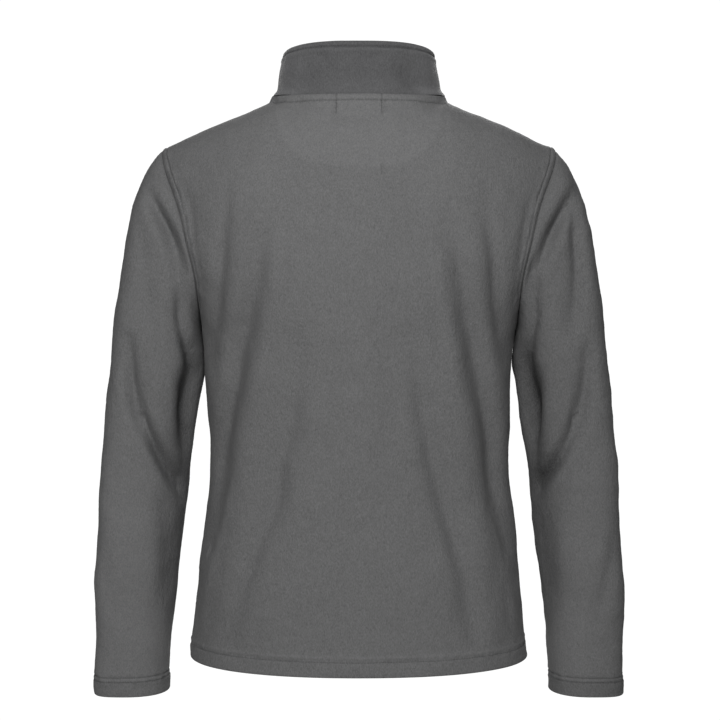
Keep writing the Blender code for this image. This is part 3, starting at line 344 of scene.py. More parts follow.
def spline(knots, values, at):
    """Natural cubic spline through the values at the knots, read at some places."""
    knots, values, at = (np.asarray(item, float) for item in (knots, values, at))
    steps = np.diff(knots)
    system = np.eye(len(knots))
    right = np.zeros(values.shape)
    for i in range(1, len(knots) - 1):
        system[i, i - 1 : i + 2] = steps[i - 1], 2 * (steps[i - 1] + steps[i]), steps[i]
        slopes = (values[i + 1] - values[i]) / steps[i], (values[i] - values[i - 1]) / steps[i - 1]
        right[i] = 6 * (slopes[0] - slopes[1])
    bend = np.linalg.solve(system, right)
    i = np.clip(np.searchsorted(knots, at, side="right") - 1, 0, len(knots) - 2)
    step = steps[i]
    before, after = at - knots[i], knots[i + 1] - at
    if values.ndim > 1:
        step, before, after = step[..., None], before[..., None], after[..., None]
    return (
        (bend[i] * after**3 + bend[i + 1] * before**3) / (6 * step)
        + (values[i] / step - bend[i] * step / 6) * after
        + (values[i + 1] / step - bend[i + 1] * step / 6) * before
    )


def smooth_step(low, high, value):
    part = np.clip((value - low) / (high - low), 0.0, 1.0)
    return part * part * (3 - 2 * part)


def bell(distance, width):
    return np.exp(-((distance / width) ** 2))


def unit(vectors):
    return vectors / np.maximum(np.linalg.norm(vectors, axis=-1, keepdims=True), 1e-12)


def armhole(place):
    """Armhole seam on +X: -1 is the armpit by way of the front, 0 the shoulder tip, 1 the armpit
    by way of the back."""
    back = np.array([(row.back_x, row.back_y, row.z) for row in ARMHOLE])
    front = np.array([(row.front_x, row.front_y, row.z) for row in ARMHOLE])
    loop = np.concatenate([front[:0:-1], back])
    lengths = np.concatenate([[0], np.cumsum(np.linalg.norm(np.diff(loop, axis=0), axis=1))])
    tip = lengths[len(ARMHOLE) - 1]
    knots = np.where(lengths < tip, lengths / tip - 1, (lengths - tip) / (lengths[-1] - tip))
    return spline(knots, loop, place)


def armhole_axis():
    """Unit vector along the sleeve, square to the plane of the armhole."""
    rise = armhole(0.0) - armhole(1.0)
    return unit(np.array((rise[2], 0.0, -rise[0])))


def armhole_outwards(place):
    """Unit vectors in the armhole's plane, away from its middle."""

    def away(at):
        along = armhole(np.clip(at + 1e-3, -1, 1)) - armhole(np.clip(at - 1e-3, -1, 1))
        return unit(np.cross(np.broadcast_to(armhole_axis(), along.shape), along))

    found = away(place) * np.sign(away(np.zeros(1))[0] @ UP)
    found[np.abs(place) > 1 - 1e-6] = unit(armhole(1.0) - armhole(0.0))
    return found


def oval_point(oval, turn):
    """Point of a neck oval: turn is 0 at the centre back, a quarter circle at the side."""
    back = np.cos(turn) > 0
    level = np.abs(np.cos(turn)) ** np.where(back, BACK_LEVEL, FRONT_LEVEL)
    x = oval.half_width * np.abs(np.sin(turn)) ** oval.power
    y = np.where(back, oval.back_y, oval.front_y) * np.abs(np.cos(turn)) ** oval.power
    end = np.where(back, oval.back_z, oval.front_z)
    return np.stack([x, y, oval.side_z + (end - oval.side_z) * level], axis=-1)


def front_turn(x):
    return math.pi - np.arcsin(x / NECKLINE.half_width)


# ---- surfaces


def body_section(z):
    heights = [row.z for row in SECTIONS]
    sizes = [(row.half_width, row.back_depth, row.front_depth) for row in SECTIONS]
    return np.moveaxis(spline(heights, sizes, z), -1, 0)


def body_depth(x, z, front):
    half_width, back_depth, front_depth = body_section(z)
    ratio = np.clip(x / half_width, 0, 1)
    return (front_depth if front else back_depth) * (1 - ratio**BODY_ROUND) ** (1 / BODY_ROUND)


def low_neckline(turns):
    rise = NECK_RISE_MIDDLE + (NECK_RISE_SIDE - NECK_RISE_MIDDLE) * np.sin(turns) ** 2
    return oval_point(NECKLINE, turns) - rise[..., None] * UP, rise


def nearest(points, line):
    """Distance from each point of a grid to a line of points, and the nearest one's index."""
    gaps, index = np.empty(points.shape[:2]), np.empty(points.shape[:2], int)
    for row, strip in enumerate(points):
        away = ((strip[:, None, :] - line) ** 2).sum(axis=-1)
        index[row] = away.argmin(axis=-1)
        gaps[row] = np.sqrt(away.min(axis=-1))
    return gaps, index


def neck_rise(points):
    turns = np.linspace(0, math.pi, 361)
    line, rise = low_neckline(turns)
    gaps, index = nearest(points, line)
    width = NECK_RISE_WIDTH + (NECK_SIDE_WIDTH - NECK_RISE_WIDTH) * np.sin(turns[index]) ** 4
    return rise[index] * bell(gaps, width)


def panel_columns(front):
    """Part, starting x and top end of each column of half a panel."""
    inner = np.linspace(0, EDGE_PARTS[0], PANEL_COLUMNS)
    inner = np.append(inner[np.abs(inner - NECK_PART) > 0.004], NECK_PART)
    if not front:
        inner = np.append(inner[np.abs(inner - LABEL_COLUMNS.mean()) > 0.006], LABEL_COLUMNS)
    inner = np.sort(inner)
    part = np.concatenate([inner, EDGE_PARTS[1:]])
    x_start = np.full(len(part), TAPE_OUTER_X if front else 0.0)
    first = front_turn(TAPE_OUTER_X) if front else 0.0
    neck = part <= NECK_PART
    turns = first + (math.pi / 2 - first) * part[neck] / NECK_PART
    place = (part[~neck] - NECK_PART) / (1 - NECK_PART)
    tip = ARMHOLE[0]
    x = NECKLINE.half_width + (tip.back_x - NECKLINE.half_width) * place**SHOULDER_SPACING
    seam = np.stack([x, np.zeros_like(x), tip.z + (tip.back_x - x) * SHOULDER_SLOPE], axis=-1)
    if front:
        beside = np.linspace(PLACKET_X, TAPE_OUTER_X, PLACKET_COLUMNS + 1)[:-1]
        part = np.concatenate([np.zeros(PLACKET_COLUMNS), part])
        x_start = np.concatenate([beside, x_start])
        turns = np.concatenate([front_turn(beside), turns])
    return part, x_start, np.concatenate([low_neckline(turns)[0], seam])


def body_panel(front):
    """Half of the back, or the front on +X, as rows of points from hem to top."""
    part, x_start, tops = panel_columns(front)
    top = ARMPIT_Z - WAIST_DIP * (1 - part**2)
    hem = HEM_Z + HEM_STEPS[:, None] + 0 * part
    z = np.concatenate([hem, hem[-1] + (top - hem[-1]) * np.linspace(0, 1, BODY_ROWS + 1)[1:, None]])
    half_width = body_section(z)[0]
    x = x_start + (half_width - x_start) * np.sin(part * math.pi / 2) ** (2 / BODY_ROUND)
    full = body_depth(tops[:, 0], tops[:, 2], front)
    end = np.arccos(np.minimum(np.abs(tops[:, 1]) / full, 1.0) ** (SHOULDER_ROUND / 2))
    v = UPPER_ROWS[1:, None]
    turn = end * v**ROW_EASE
    ridge = (tops[:, 2] - z[-1]) / np.sin(end)
    closing = np.concatenate([np.ones_like(z), np.maximum(np.cos(turn), 0) ** (2 / SHOULDER_ROUND)])
    x = np.concatenate([x, x[-1] + (tops[:, 0] - x[-1]) * v**SPREAD_POWER])
    z = np.concatenate([z, z[-1] + ridge * np.sin(turn)])
    y = body_depth(x, z, front) * closing
    grid = np.stack([x, -y if front else y, z], axis=-1)
    upper = grid[-len(UPPER_ROWS) :]
    seam = armhole((UPPER_ROWS - 1) if front else (1 - UPPER_ROWS))
    reach = SEAM_REACH + PIT_REACH * np.exp(-UPPER_ROWS[:, None] / PIT_FADE)
    upper += (seam - upper[:, -1])[:, None, :] * (part**reach)[..., None]
    upper[..., 2] += neck_rise(upper)
    return grid


def collar_rows():
    """Distances of the collar's rows below its top edge, from the seam up."""
    near_seam = COLLAR_HEIGHT - np.array((0, 0.0005, 0.0012, 0.0022, 0.0036, 0.0056))
    middle = np.linspace(near_seam[-1], COLLAR_STEPS[0], 15)[1:-1]
    return np.concatenate([near_seam, middle, COLLAR_STEPS])


def collar_surface():
    """Half of the collar on +X, from the centre back round to the zip."""
    back = np.linspace(0, math.pi / 2, 58)
    front = np.linspace(math.pi / 2, front_turn(TAPE_OUTER_X), 56)[1:]
    beside = front_turn(np.linspace(TAPE_OUTER_X, PLACKET_X, PLACKET_COLUMNS + 1)[1:])
    turns = np.concatenate([back, front, beside])
    base = oval_point(NECKLINE, turns)
    top_turns = turns.copy()
    near = turns > front_turn(TAPE_OUTER_X) - 1e-9
    front_x = base[near, 0] / COLLAR_TOP.half_width
    top_turns[near] = math.pi - np.arcsin(front_x ** (1 / COLLAR_TOP.power))
    top = oval_point(COLLAR_TOP, top_turns)
    v = 1 - collar_rows()[:, None, None] / COLLAR_HEIGHT
    bow = COLLAR_BOW * np.sin(math.pi * v) - COLLAR_FLARE * (1 - v - np.exp(-v / FLARE_PART))
    return base * (1 - v) + top * v + unit(base * (1, 1, 0)) * bow


def sleeve_surface():
    """The sleeve on +X, as rings from the armhole to the cuff."""
    count = len(SLEEVE) - 1
    drop = abs(SLEEVE[-1].outer_z - SLEEVE[-2].outer_z)
    cuff = count - CUFF_STEPS / drop
    start = np.array((0, 0.030, 0.075, 0.130, 0.200, 0.290))
    middle = np.linspace(0, 1, SLEEVE_ROWS)
    middle = start[-1] + (cuff[0] - start[-1]) * (0.62 * middle + 0.38 * middle**1.3)
    places = np.concatenate([start, middle[1:-1], cuff])
    rings = spline(np.arange(count + 1), np.array(SLEEVE), places)
    around = np.linspace(-1, 1, SLEEVE_COLUMNS + 1)
    turn = around * math.pi
    square = 2 / np.where(np.cos(turn) > 0, ROUND_OUTSIDE, ROUND_INSIDE)
    round_axis = np.sign(np.cos(turn)) * np.abs(np.cos(turn)) ** square
    round_depth = np.sign(turn) * np.abs(np.sin(turn)) ** square
    seam = armhole(around)
    tip, pit = armhole(0.0), armhole(1.0)
    reach = tip - pit
    seam_axis = ((seam - pit) @ reach) / (reach @ reach) * 2 - 1
    seam_off = seam - (pit + reach * (seam_axis[:, None] + 1) / 2)
    outer_x, outer_z, inner_x, inner_z, middle_y, half_depth = (item[:, None] for item in rings.T)
    own = np.maximum(0.0, 1 - places / CAP_RINGS)[:, None] ** 2
    axis = own * seam_axis + (1 - own) * round_axis
    depth = own * seam_off[:, 1] * half_depth / SLEEVE[0].half_depth
    depth = depth + (1 - own) * half_depth * round_depth
    x = (outer_x + inner_x) / 2 + (outer_x - inner_x) / 2 * axis + own * seam_off[:, 0]
    z = (outer_z + inner_z) / 2 + (outer_z - inner_z) / 2 * axis + own * seam_off[:, 2]
    return np.stack([x, middle_y + depth, z], axis=-1), around


# ---- normals and relief


def gradient_normals(grid, ring=False, mirrored_start=False):
    """Unit normals of a grid of points, pointing away from the garment's inside."""
    if ring:
        padded = np.concatenate([grid[:, -2:-1], grid, grid[:, 1:2]], axis=1)
        across = padded[:, 2:] - padded[:, :-2]
    else:
        across = np.gradient(grid, axis=1)
    if mirrored_start:
        across[:, 0] = grid[:, 1] * (1, 0, 0)
    normals = unit(np.cross(across, np.gradient(grid, axis=0)))
    middle = grid.mean(axis=(0, 1)) * ((1, 1, 1) if ring else (0, 0, 1))
    return normals * np.sign((normals * (grid - middle)).sum())


def lengths_along(grid, axis):
    steps = np.linalg.norm(np.diff(grid, axis=axis), axis=-1)
    return np.concatenate([np.zeros_like(steps.take([0], axis=axis)), np.cumsum(steps, axis=axis)], axis)


def from_end(grid, axis):
    return np.flip(lengths_along(np.flip(grid, axis), axis), axis)


def turn_to(normals, direction, distance, reach=0.012):
    """Normals that turn to a given direction as a seam comes near."""
    near = (1 - smooth_step(0, reach, distance))[..., None]
    return unit(direction * near + normals * (1 - near))


def fold_rise(points, folds):
    """Height of the folds at some points, told by their x and z."""
    rise = np.zeros(points.shape[:-1])
    place = points[..., [0, 2]]
    part = np.linspace(0, 1, FOLD_SAMPLES)
    for fold in folds:
        line = spline(np.linspace(0, 1, len(fold.path)), fold.path, part)
        gaps, index = nearest(place, line)
        inside = FOLD_ENDS + (1 - 2 * FOLD_ENDS) * part[index]
        strength = np.sin(math.pi * inside) ** FOLD_FULLNESS
        beyond = np.abs(place[..., 0]) > np.abs(line[index, 0])
        half_width = fold.half_width * np.where(beyond, fold.lean, 1.0)
        rise += fold.rise * strength * bell(gaps, half_width)
    return rise


def waves(points, length, seed, count=28):
    """Even, random unevenness of about unit height, with waves of about one length."""
    pick = np.random.default_rng(seed)
    total = np.zeros(points.shape[:-1])
    for _ in range(count):
        direction = unit(pick.normal(size=3)) / (length * pick.uniform(0.75, 1.45))
        total += np.sin(2 * math.pi * (points @ direction) + pick.uniform(0, 2 * math.pi))
    return total / math.sqrt(count / 2)


def band(distance, width):
    return 1 - smooth_step(width, width + BAND_EDGE, distance)


def stitched(distance, at, points, seed):
    """The trough that a line of stitches pulls, and the slight puckers beside it."""
    pucker = PUCKER * bell(distance - at, PUCKER_REACH) * waves(points, PUCKER_WAVE, seed)
    return -STITCH_DIP * bell(distance - at, STITCH_WIDTH) + pucker


def roll(distance, at, rise):
    """A soft roll of the cloth beside a row of stitches."""
    return rise * bell(distance - at, ROLL_WIDTH)


def line_tone(distance, at, tone):
    return tone * bell(distance - at, TONE_WIDTH)


def seam_dip(distance):
    return -SEAM_DIP * bell(distance, SEAM_WIDTH)


def rolled(distance, half):
    """How far each face of the wall moves in near a folded edge, so that the edge is round."""
    inside = np.clip(half - distance, 0, half * 0.97)
    return half - np.sqrt(half**2 - inside**2)


def uneven(points, seed):
    pick = np.random.default_rng(seed)
    return (
        SWELL * waves(points, SWELL_WAVE, seed + 1)
        + RUMPLE * waves(points, RUMPLE_WAVE, seed + 2)
        + NAP_RISE * pick.normal(size=points.shape[:-1])
    )


def make_walls(grid, normals, rise, wall, edge):
    """Outer and inner surface. edge is how far both move in to round an edge."""
    outer = grid + normals * (rise - edge)[..., None]
    inner = grid + normals * (rise - wall + edge)[..., None]
    return outer, inner


# ---- meshes


def add_mesh(name, points, faces, coat, tone=None):
    """Mesh object with its faces turned outwards. tone is a value for each point, which the
    material reads."""
    points, faces = np.asarray(points, float), np.asarray(faces)
    a, b, c = (points[faces[:, i]] for i in range(3))
    volume = (a * np.cross(b, c)).sum()
    if faces.shape[1] == 4:
        volume += (a * np.cross(c, points[faces[:, 3]])).sum()
    if volume < 0:
        faces = faces[:, ::-1]
    mesh = bpy.data.meshes.new(name)
    mesh.from_pydata(points.tolist(), [], faces.tolist())
    mesh.materials.append(coat)
    mesh.shade_smooth()
    mesh.set_sharp_from_angle(angle=math.radians(60))
    if tone is not None:
        mesh.attributes.new("tone", "FLOAT", "POINT").data.foreach_set("value", tone)
    made = bpy.data.objects.new(name, mesh)
    bpy.context.scene.collection.objects.link(made)
    return made


def shell(name, outer, inner, coat, tone, ring=False):
    """Closed wall between two grids of points. A ring's last column repeats its first."""
    if ring:
        outer, inner, tone = outer[:, :-1], inner[:, :-1], tone[:, :-1]
    rows, columns = outer.shape[:2]
    index = np.arange(rows * columns).reshape(rows, columns)
    if ring:
        index = np.concatenate([index, index[:, :1]], axis=1)
    back = index + rows * columns

    def quads(first, second):
        """Faces between two lines of indices."""
        ends = first[:-1], first[1:], second[1:], second[:-1]
        return np.stack(ends, axis=-1).reshape(-1, 4)

    faces = [quads(index[:-1].T, index[1:].T), quads(back[1:].T, back[:-1].T)]
    faces += [quads(back[0], index[0]), quads(index[-1], back[-1])]
    if not ring:
        faces += [quads(index[:, 0], back[:, 0]), quads(back[:, -1], index[:, -1])]
    points = np.concatenate([outer.reshape(-1, 3), inner.reshape(-1, 3)])
    tones = np.concatenate([tone.reshape(-1), np.zeros(rows * columns)])
    return add_mesh(name, points, np.concatenate(faces), coat, tones)


def bars(rings, sides):
    """Points and side faces of a row of alike bars, from the points that run round their sections."""
    block = np.stack(rings, axis=1)
    first = np.arange(len(block))[:, None, None] * len(rings)
    ring = np.arange(len(rings) // sides - 1)[None, :, None] * sides
    side = np.arange(sides)[None, None, :]
    after = (side + 1) % sides
    quads = np.stack([side + ring, after + ring, after + ring + sides, side + ring + sides], -1)
    return block.reshape(-1, 3), (first[..., None] + quads).reshape(-1, 4)


def declare(piece, node):
    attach(piece, BODY)
    if node:
        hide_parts(node)


# ---- stitches


def read(grid, rows, columns):
    """Grid values at fractional rows and columns."""
    r = np.clip(np.floor(rows).astype(int), 0, grid.shape[0] - 2)
    c = np.clip(np.floor(columns).astype(int), 0, grid.shape[1] - 2)
    u, v = (rows - r)[:, None], (columns - c)[:, None]
    low = grid[r, c] * (1 - v) + grid[r, c + 1] * v
    high = grid[r + 1, c] * (1 - v) + grid[r + 1, c + 1] * v
    return low * (1 - u) + high * u


def crossing(line, level):
    """Fractional index at which a row of values, read from its end, first passes the level."""
    last = len(line) - 1
    beyond = np.nonzero(line[::-1] >= level)[0]
    if not len(beyond) or beyond[0] == 0:
        return None
    i = last - beyond[0]
    return i + (line[i] - level) / (line[i] - line[i + 1])


def spaced(points, normals, step):
    along = lengths_along(points[:, None], 0)[:, 0]
    at = np.linspace(0, along[-1], max(2, int(along[-1] / step) + 1))
    both = np.concatenate([points, normals], axis=1)
    found = np.stack([np.interp(at, along, column) for column in both.T], axis=1)
    return found[:, :3], unit(found[:, 3:])


STITCH_SECTIONS = ((-0.5, -0.9, 0.55), (-0.27, 0.15, 1.0), (0.27, 0.15, 1.0), (0.5, -0.9, 0.55))
STITCH_SIDES = 5
STITCH_SLANT = 0.04  # spread of the stitches' lean off their line


def thread(name, paths, coat):
    """One mesh of all the stitches along some paths on the cloth."""
    points, faces = [], []
    turn = np.arange(STITCH_SIDES) * 2 * math.pi / STITCH_SIDES
    pick = np.random.default_rng(len(paths))
    for line, normals in paths:
        line, normals = spaced(line, normals, STITCH_LENGTH + STITCH_GAP)
        middles = (line[1:] + line[:-1]) / 2
        along = unit(line[1:] - line[:-1])
        up = unit(normals[1:] + normals[:-1])
        aside = unit(np.cross(along, up))
        along = unit(along + aside * pick.normal(0, STITCH_SLANT, (len(along), 1)))
        rings = []
        for place, height, thick in STITCH_SECTIONS:
            centre = middles + along * place * STITCH_LENGTH + up * height * THREAD
            for angle in turn:
                offset = aside * math.cos(angle) + up * math.sin(angle)
                rings.append(centre + offset * THREAD * thick)
        corners, quads = bars(rings, STITCH_SIDES)
        faces.append(quads + sum(len(part) for part in points))
        points.append(corners)
    declare(add_mesh(name, np.concatenate(points), np.concatenate(faces), coat), None)


# ---- materials


def set_inputs(tree, node, inputs):
    """Sets a node's inputs, or links them where the value is another node's output."""
    for key, value in dict(inputs).items():
        if isinstance(value, bpy.types.NodeSocket):
            tree.links.new(value, node.inputs[key])
        else:
            node.inputs[key].default_value = value


def add_node(tree, kind, inputs=(), output=0, **settings):
    node = tree.nodes.new(kind)
    for key, value in settings.items():
        setattr(node, key, value)
    set_inputs(tree, node, inputs)
    return node.outputs[output]


def math_node(tree, operation, first, second):
    return add_node(tree, "ShaderNodeMath", {0: first, 1: second}, operation=operation)


def scaled(tree, value, share, base):
    return math_node(tree, "ADD", math_node(tree, "MULTIPLY", value, share), base)


def noise(tree, where, scale, stretch=(1, 1, 1), detail=2.0, roughness=0.5):
    """Noise about 0, from about -1 to 1, stretched along the axes."""
    if stretch != (1, 1, 1):
        where = add_node(tree, "ShaderNodeMapping", {"Vector": where, "Scale": stretch})
    inputs = {"Vector": where, "Scale": scale, "Detail": detail, "Roughness": roughness}
    made = add_node(tree, "ShaderNodeTexNoise", inputs, "Fac")
    return add_node(tree, "ShaderNodeMapRange", {0: made, 1: 0.25, 2: 0.75, 3: -1, 4: 1}, clamp=False)


def weighted(tree, *pairs):
    """Sum of values times weights."""
    total = None
    for value, weight in pairs:
        term = math_node(tree, "MULTIPLY", value, weight)
        total = term if total is None else math_node(tree, "ADD", total, term)
    return total


def tinted(tree, colour, *pairs):
    """The colour made lighter or darker by a weighted sum about 0."""
    factor = math_node(tree, "ADD", weighted(tree, *pairs), 1.0)
    return add_node(tree, "ShaderNodeVectorMath", {0: colour, 1: factor}, operation="MULTIPLY")


def bumped(tree, height, strength, distance):
    inputs = {"Height": height, "Strength": strength, "Distance": distance}
    return add_node(tree, "ShaderNodeBump", inputs)


def finish(name, looks, *values):
    """Material with the inputs that a function gives for its node tree and the object's places."""
    made = bpy.data.materials.new(name)
    made.use_nodes = True
    tree = made.node_tree
    where = add_node(tree, "ShaderNodeTexCoord", output="Object")
    set_inputs(tree, tree.nodes["Principled BSDF"], looks(tree, where, *values))
    return made


def fleece(tree, where, colour, sheen):
    """Short brushed nap: fine flecks that run slightly downwards, matt, with a soft sheen."""
    # tone brings in each point's painted shade and painted light, along with its other colour changes
    tone = add_node(tree, "ShaderNodeAttribute", output="Fac", attribute_name="tone")
    fleck = noise(tree, where, 720, (1, 1, 0.50), 2.0, 0.6)
    fibre = noise(tree, where, 1500, (1, 1, 0.30), 1.0)
    tuft = noise(tree, where, 210, (1, 1, 0.60), 2.0)
    cloud = noise(tree, where, 16)
    height = weighted(tree, (fleck, 0.5), (fibre, 0.2), (tuft, 0.6))
    tint = (fleck, 0.20), (fibre, 0.12), (tuft, 0.05), (cloud, 0.02), (tone, 1.0)
    return {
        "Base Color": tinted(tree, colour, *tint),
        "Normal": bumped(tree, height, 0.55, 0.0006),
        "Roughness": scaled(tree, tuft, 0.04, 0.92),
        "Specular IOR Level": 0.15,
        "Sheen Weight": sheen,
        "Sheen Roughness": 0.30,
    }


def twisted(tree, where, colour):
    """Twisted polyester thread."""
    twist = noise(tree, where, 1900, detail=1.0)
    return {
        "Base Color": tinted(tree, colour, (twist, 0.22)),
        "Normal": bumped(tree, twist, 0.5, 0.0001),
        "Roughness": 0.60,
    }


def woven(tree, where, colour):
    """Twill tape: fine diagonal ribs across a plain dark weave."""
    inputs = {"Vector": where, "Scale": 260, "Distortion": 0.6, "Detail": 1, "Detail Scale": 2}
    ribs = add_node(tree, "ShaderNodeTexWave", inputs, "Fac", bands_direction="DIAGONAL")
    yarn = noise(tree, where, 900, (1, 1, 0.5), 1.0)
    return {
        "Base Color": tinted(tree, colour, (ribs, 0.35), (yarn, 0.15)),
        "Normal": bumped(tree, weighted(tree, (ribs, 1.0), (yarn, 0.3)), 0.6, 0.0003),
        "Roughness": 0.80,
        "Sheen Weight": 0.10,
    }


def moulded(tree, where, colour):
    """Nylon of the coil teeth: dark, half glossy, faintly uneven."""
    cloud = noise(tree, where, 700, detail=1.0)
    return {
        "Base Color": tinted(tree, colour, (cloud, 0.12)),
        "Roughness": scaled(tree, cloud, 0.06, 0.38),
    }


def enamel(tree, where, colour):
    """Dark satin enamel on cast metal, a little worn to bright metal on its edges."""
    grain = noise(tree, where, 800, detail=3.0)
    edge = add_node(tree, "ShaderNodeNewGeometry", output="Pointiness")
    worn = add_node(tree, "ShaderNodeMapRange", {0: edge, 1: 0.52, 2: 0.62, 3: 0.0, 4: 0.6})
    speckle = math_node(tree, "MULTIPLY", worn, math_node(tree, "ADD", grain, 0.7))
    bare = math_node(tree, "MAXIMUM", speckle, 0.0)
    inputs = {0: bare, 6: tinted(tree, colour, (grain, 0.10)), 7: (0.32, 0.32, 0.33, 1)}
    return {
        "Base Color": add_node(tree, "ShaderNodeMix", inputs, 2, data_type="RGBA"),
        "Roughness": scaled(tree, grain, 0.07, 0.36),
        "Normal": bumped(tree, grain, 0.15, 0.0001),
        "Metallic": 0.85,
    }


# ---- cloth pieces


def full_width(half, flip=MIRROR):
    """Grid of the whole width from its +X half, which starts in the middle."""
    return np.concatenate([half[:, :0:-1] * flip, half], axis=1)


LOW = len(HEM_STEPS) + BODY_ROWS - 1  # row of the armpit
BESIDE_ZIP = TAPE_OUTER_X - PLACKET_X


def panel_fields(grid, front):
    """Distances that the relief of half a panel is told by, and normals that agree at seams."""
    x = grid[-1, :, 0]
    neck = x <= NECKLINE.half_width + 1e-6
    seam = grid[LOW:, -1]
    dense = armhole(np.linspace(-1, 0, 240) if front else np.linspace(0, 1, 240))
    return {
        "hem": grid[..., 2] - HEM_Z,
        "top": from_end(grid, 0),
        "side": from_end(grid, 1),
        "armhole": nearest(grid, np.concatenate([dense, seam]))[0],
        "neck": neck,
        "neckline": nearest(grid, grid[-1, neck])[0]
        - NECK_WIDENS * np.minimum(grid[..., 0] / NECKLINE.half_width, 1) ** 2,
        "placket": np.abs(grid[..., 0]) - PLACKET_X if front else np.full(grid.shape[:2], 1.0),
    }


def panel_normals():
    back, front = body_panel(False), body_panel(True)
    collar = collar_surface()
    found = []
    for grid, is_front in ((back, False), (front, True)):
        normals = gradient_normals(grid, mirrored_start=not is_front)
        found.append([grid, normals, panel_fields(grid, is_front)])
    back_side, front_side = found[0][1][:, -1], found[1][1][:, -1]
    side = unit(back_side * (1, 0, 1) + front_side * (1, 0, 1))
    ridge = unit(np.array((SHOULDER_SLOPE, 0.0, 1.0)))
    for item, sign in zip(found, (1, -1)):
        grid, normals, fields = item
        edge = side.copy()
        edge[LOW:] = armhole_outwards(sign * (1 - UPPER_ROWS))
        item[1] = turn_to(normals, edge[:, None], fields["side"])
        neck = fields["neck"]
        top = np.empty((grid.shape[1], 3))
        top[~neck] = ridge
        top[neck] = unit(unit(grid[-1, neck] * (1, 1, 0)) + UP * NECK_SEAM_TILT)
        keep = item[1][-1, -1].copy()
        item[1] = turn_to(item[1], top[None], fields["top"])
        item[1][-1, -1] = keep
    normals = gradient_normals(collar, mirrored_start=True)
    base = unit(unit(collar[:1] * (1, 1, 0)) + UP * NECK_SEAM_TILT)
    normals = turn_to(normals, base, lengths_along(collar, 0))
    return found, (collar, normals)


def panel_relief(points, fields, folds, seed):
    """Rise of a body panel's outer face above its smooth form."""
    f = fields
    seams = np.minimum(f["armhole"], np.minimum(f["top"], f["side"]))
    raised = np.maximum(band(f["hem"], HEM_HEIGHT), band(f["armhole"], ARMHOLE_BAND))
    raised = np.maximum(raised, band(f["neckline"], NECK_BAND))
    clear = smooth_step(0, FOLD_CLEAR, np.minimum(f["armhole"], f["top"]))
    clear = clear * smooth_step(HEM_HEIGHT, HEM_HEIGHT + FOLD_CLEAR, f["hem"])
    clear = clear * smooth_step(BESIDE_ZIP, BESIDE_ZIP + FOLD_CLEAR, f["placket"])
    sewn = seam_dip(np.minimum(f["armhole"], f["top"])) + SIDE_SEAM_PART * seam_dip(f["side"])
    rise = BAND_RISE * raised + clear * fold_rise(points, folds) + sewn
    rise += stitched(f["hem"], HEM_STITCH, points, seed)
    rise += stitched(f["armhole"], ARMHOLE_STITCH, points, seed + 10)
    rise += stitched(f["neckline"], NECK_STITCH, points, seed + 20)
    rise += roll(f["hem"], HEM_ROLL, HEM_ROLL_RISE) + roll(f["armhole"], ARMHOLE_ROLL, ARMHOLE_ROLL_RISE)
    calm = smooth_step(0, 0.010, np.minimum(seams, f["hem"])) * smooth_step(0, 0.012, f["placket"])
    return rise + uneven(points, seed + 30) * (0.15 + 0.85 * calm)


PANEL_LINES = (
    ("hem", HEM_STITCH, HEM_STITCH_PAINTED_SHADE), ("armhole", ARMHOLE_STITCH, STITCH_PAINTED_SHADE),
    ("neckline", NECK_STITCH, STITCH_PAINTED_SHADE), ("armhole", 0.0, SEAM_PAINTED_SHADE), ("top", 0.0, SEAM_PAINTED_SHADE),
    ("hem", HEM_ROLL, ROLL_PAINTED_HIGHLIGHT), ("armhole", ARMHOLE_ROLL, ROLL_PAINTED_HIGHLIGHT / 2),
)


def panel_tone(fields):
    """Painted shade in the grooves of seams and stitches, and painted highlight on the rolls beside
    them.
    """
    return sum(line_tone(fields[key], at, tone) for key, at, tone in PANEL_LINES)


def close_seams(surfaces, armhole_sides):
    """Leaves half a seam gap at a body panel's side seams, armholes and top edge."""
    axis = armhole_axis()
    for side in armhole_sides:
        inwards = 1 if side == 0 else -2
        for surface in surfaces:
            seam = surface[: LOW + 1, side]
            seam += unit(surface[: LOW + 1, inwards] - seam) * SEAM_GAP / 2
            surface[LOW:, side] -= axis * (np.sign(surface[LOW + 1, side, 0]), 1, 1) * SEAM_GAP / 2
    for surface in surfaces:
        surface[-1] += unit(surface[-2] - surface[-1]) * SEAM_GAP / 2


def moon(points):
    """1 inside the half-moon under the neck, 0 outside it."""
    across = np.abs(points[..., 0]) / MOON_HALF_WIDTH
    rim = -MOON_DROP * np.maximum(1 - across**MOON_ROUND, 0) ** (1 / MOON_ROUND)
    return smooth_step(rim - MOON_EDGE, rim + MOON_EDGE, points[..., 2]) * (across < 1)


def make_back(half, normals, fields, coat):
    grid, normals = full_width(half), full_width(normals)
    fields = {key: full_width(field, 1) for key, field in fields.items() if key != "neck"}
    rise = panel_relief(grid, fields, BACK_FOLDS + BACK_CREASES, 100)
    # Painted light on the raised half-moon under the neck
    under = moon(grid)
    # The label's stitch lines dip into the cloth and have painted shade in them
    label = bell(np.abs(grid[..., 0]) - LABEL_HALF_WIDTH, LABEL_LINE)
    label *= grid[..., 2] > NECKLINE.back_z - LABEL_HEIGHT
    rise += MOON_RISE * under - LABEL_DIP * label
    double = band(fields["hem"], HEM_HEIGHT)
    wall = CLOTH + (DOUBLE_CLOTH - CLOTH) * double
    edge = rolled(fields["hem"], DOUBLE_CLOTH / 2) * double
    surfaces = make_walls(grid, normals, rise, wall, edge)
    close_seams(surfaces, (0, -1))
    tone = panel_tone(fields) + MOON_PAINTED_LIGHT * under + LABEL_LINE_PAINTED_SHADE * label
    foot = bell(grid[..., 2] - NECKLINE.back_z + LABEL_FOOT, LABEL_FOOT_WIDTH)
    foot *= 1 - smooth_step(*LABEL_FOOT_ENDS, np.abs(grid[..., 0]) / LABEL_HALF_WIDTH)
    tone += LABEL_FOOT_TONE * foot
    made = shell("back", *surfaces, coat, tone)
    declare(made, "back")
    return surfaces[0], normals, fields


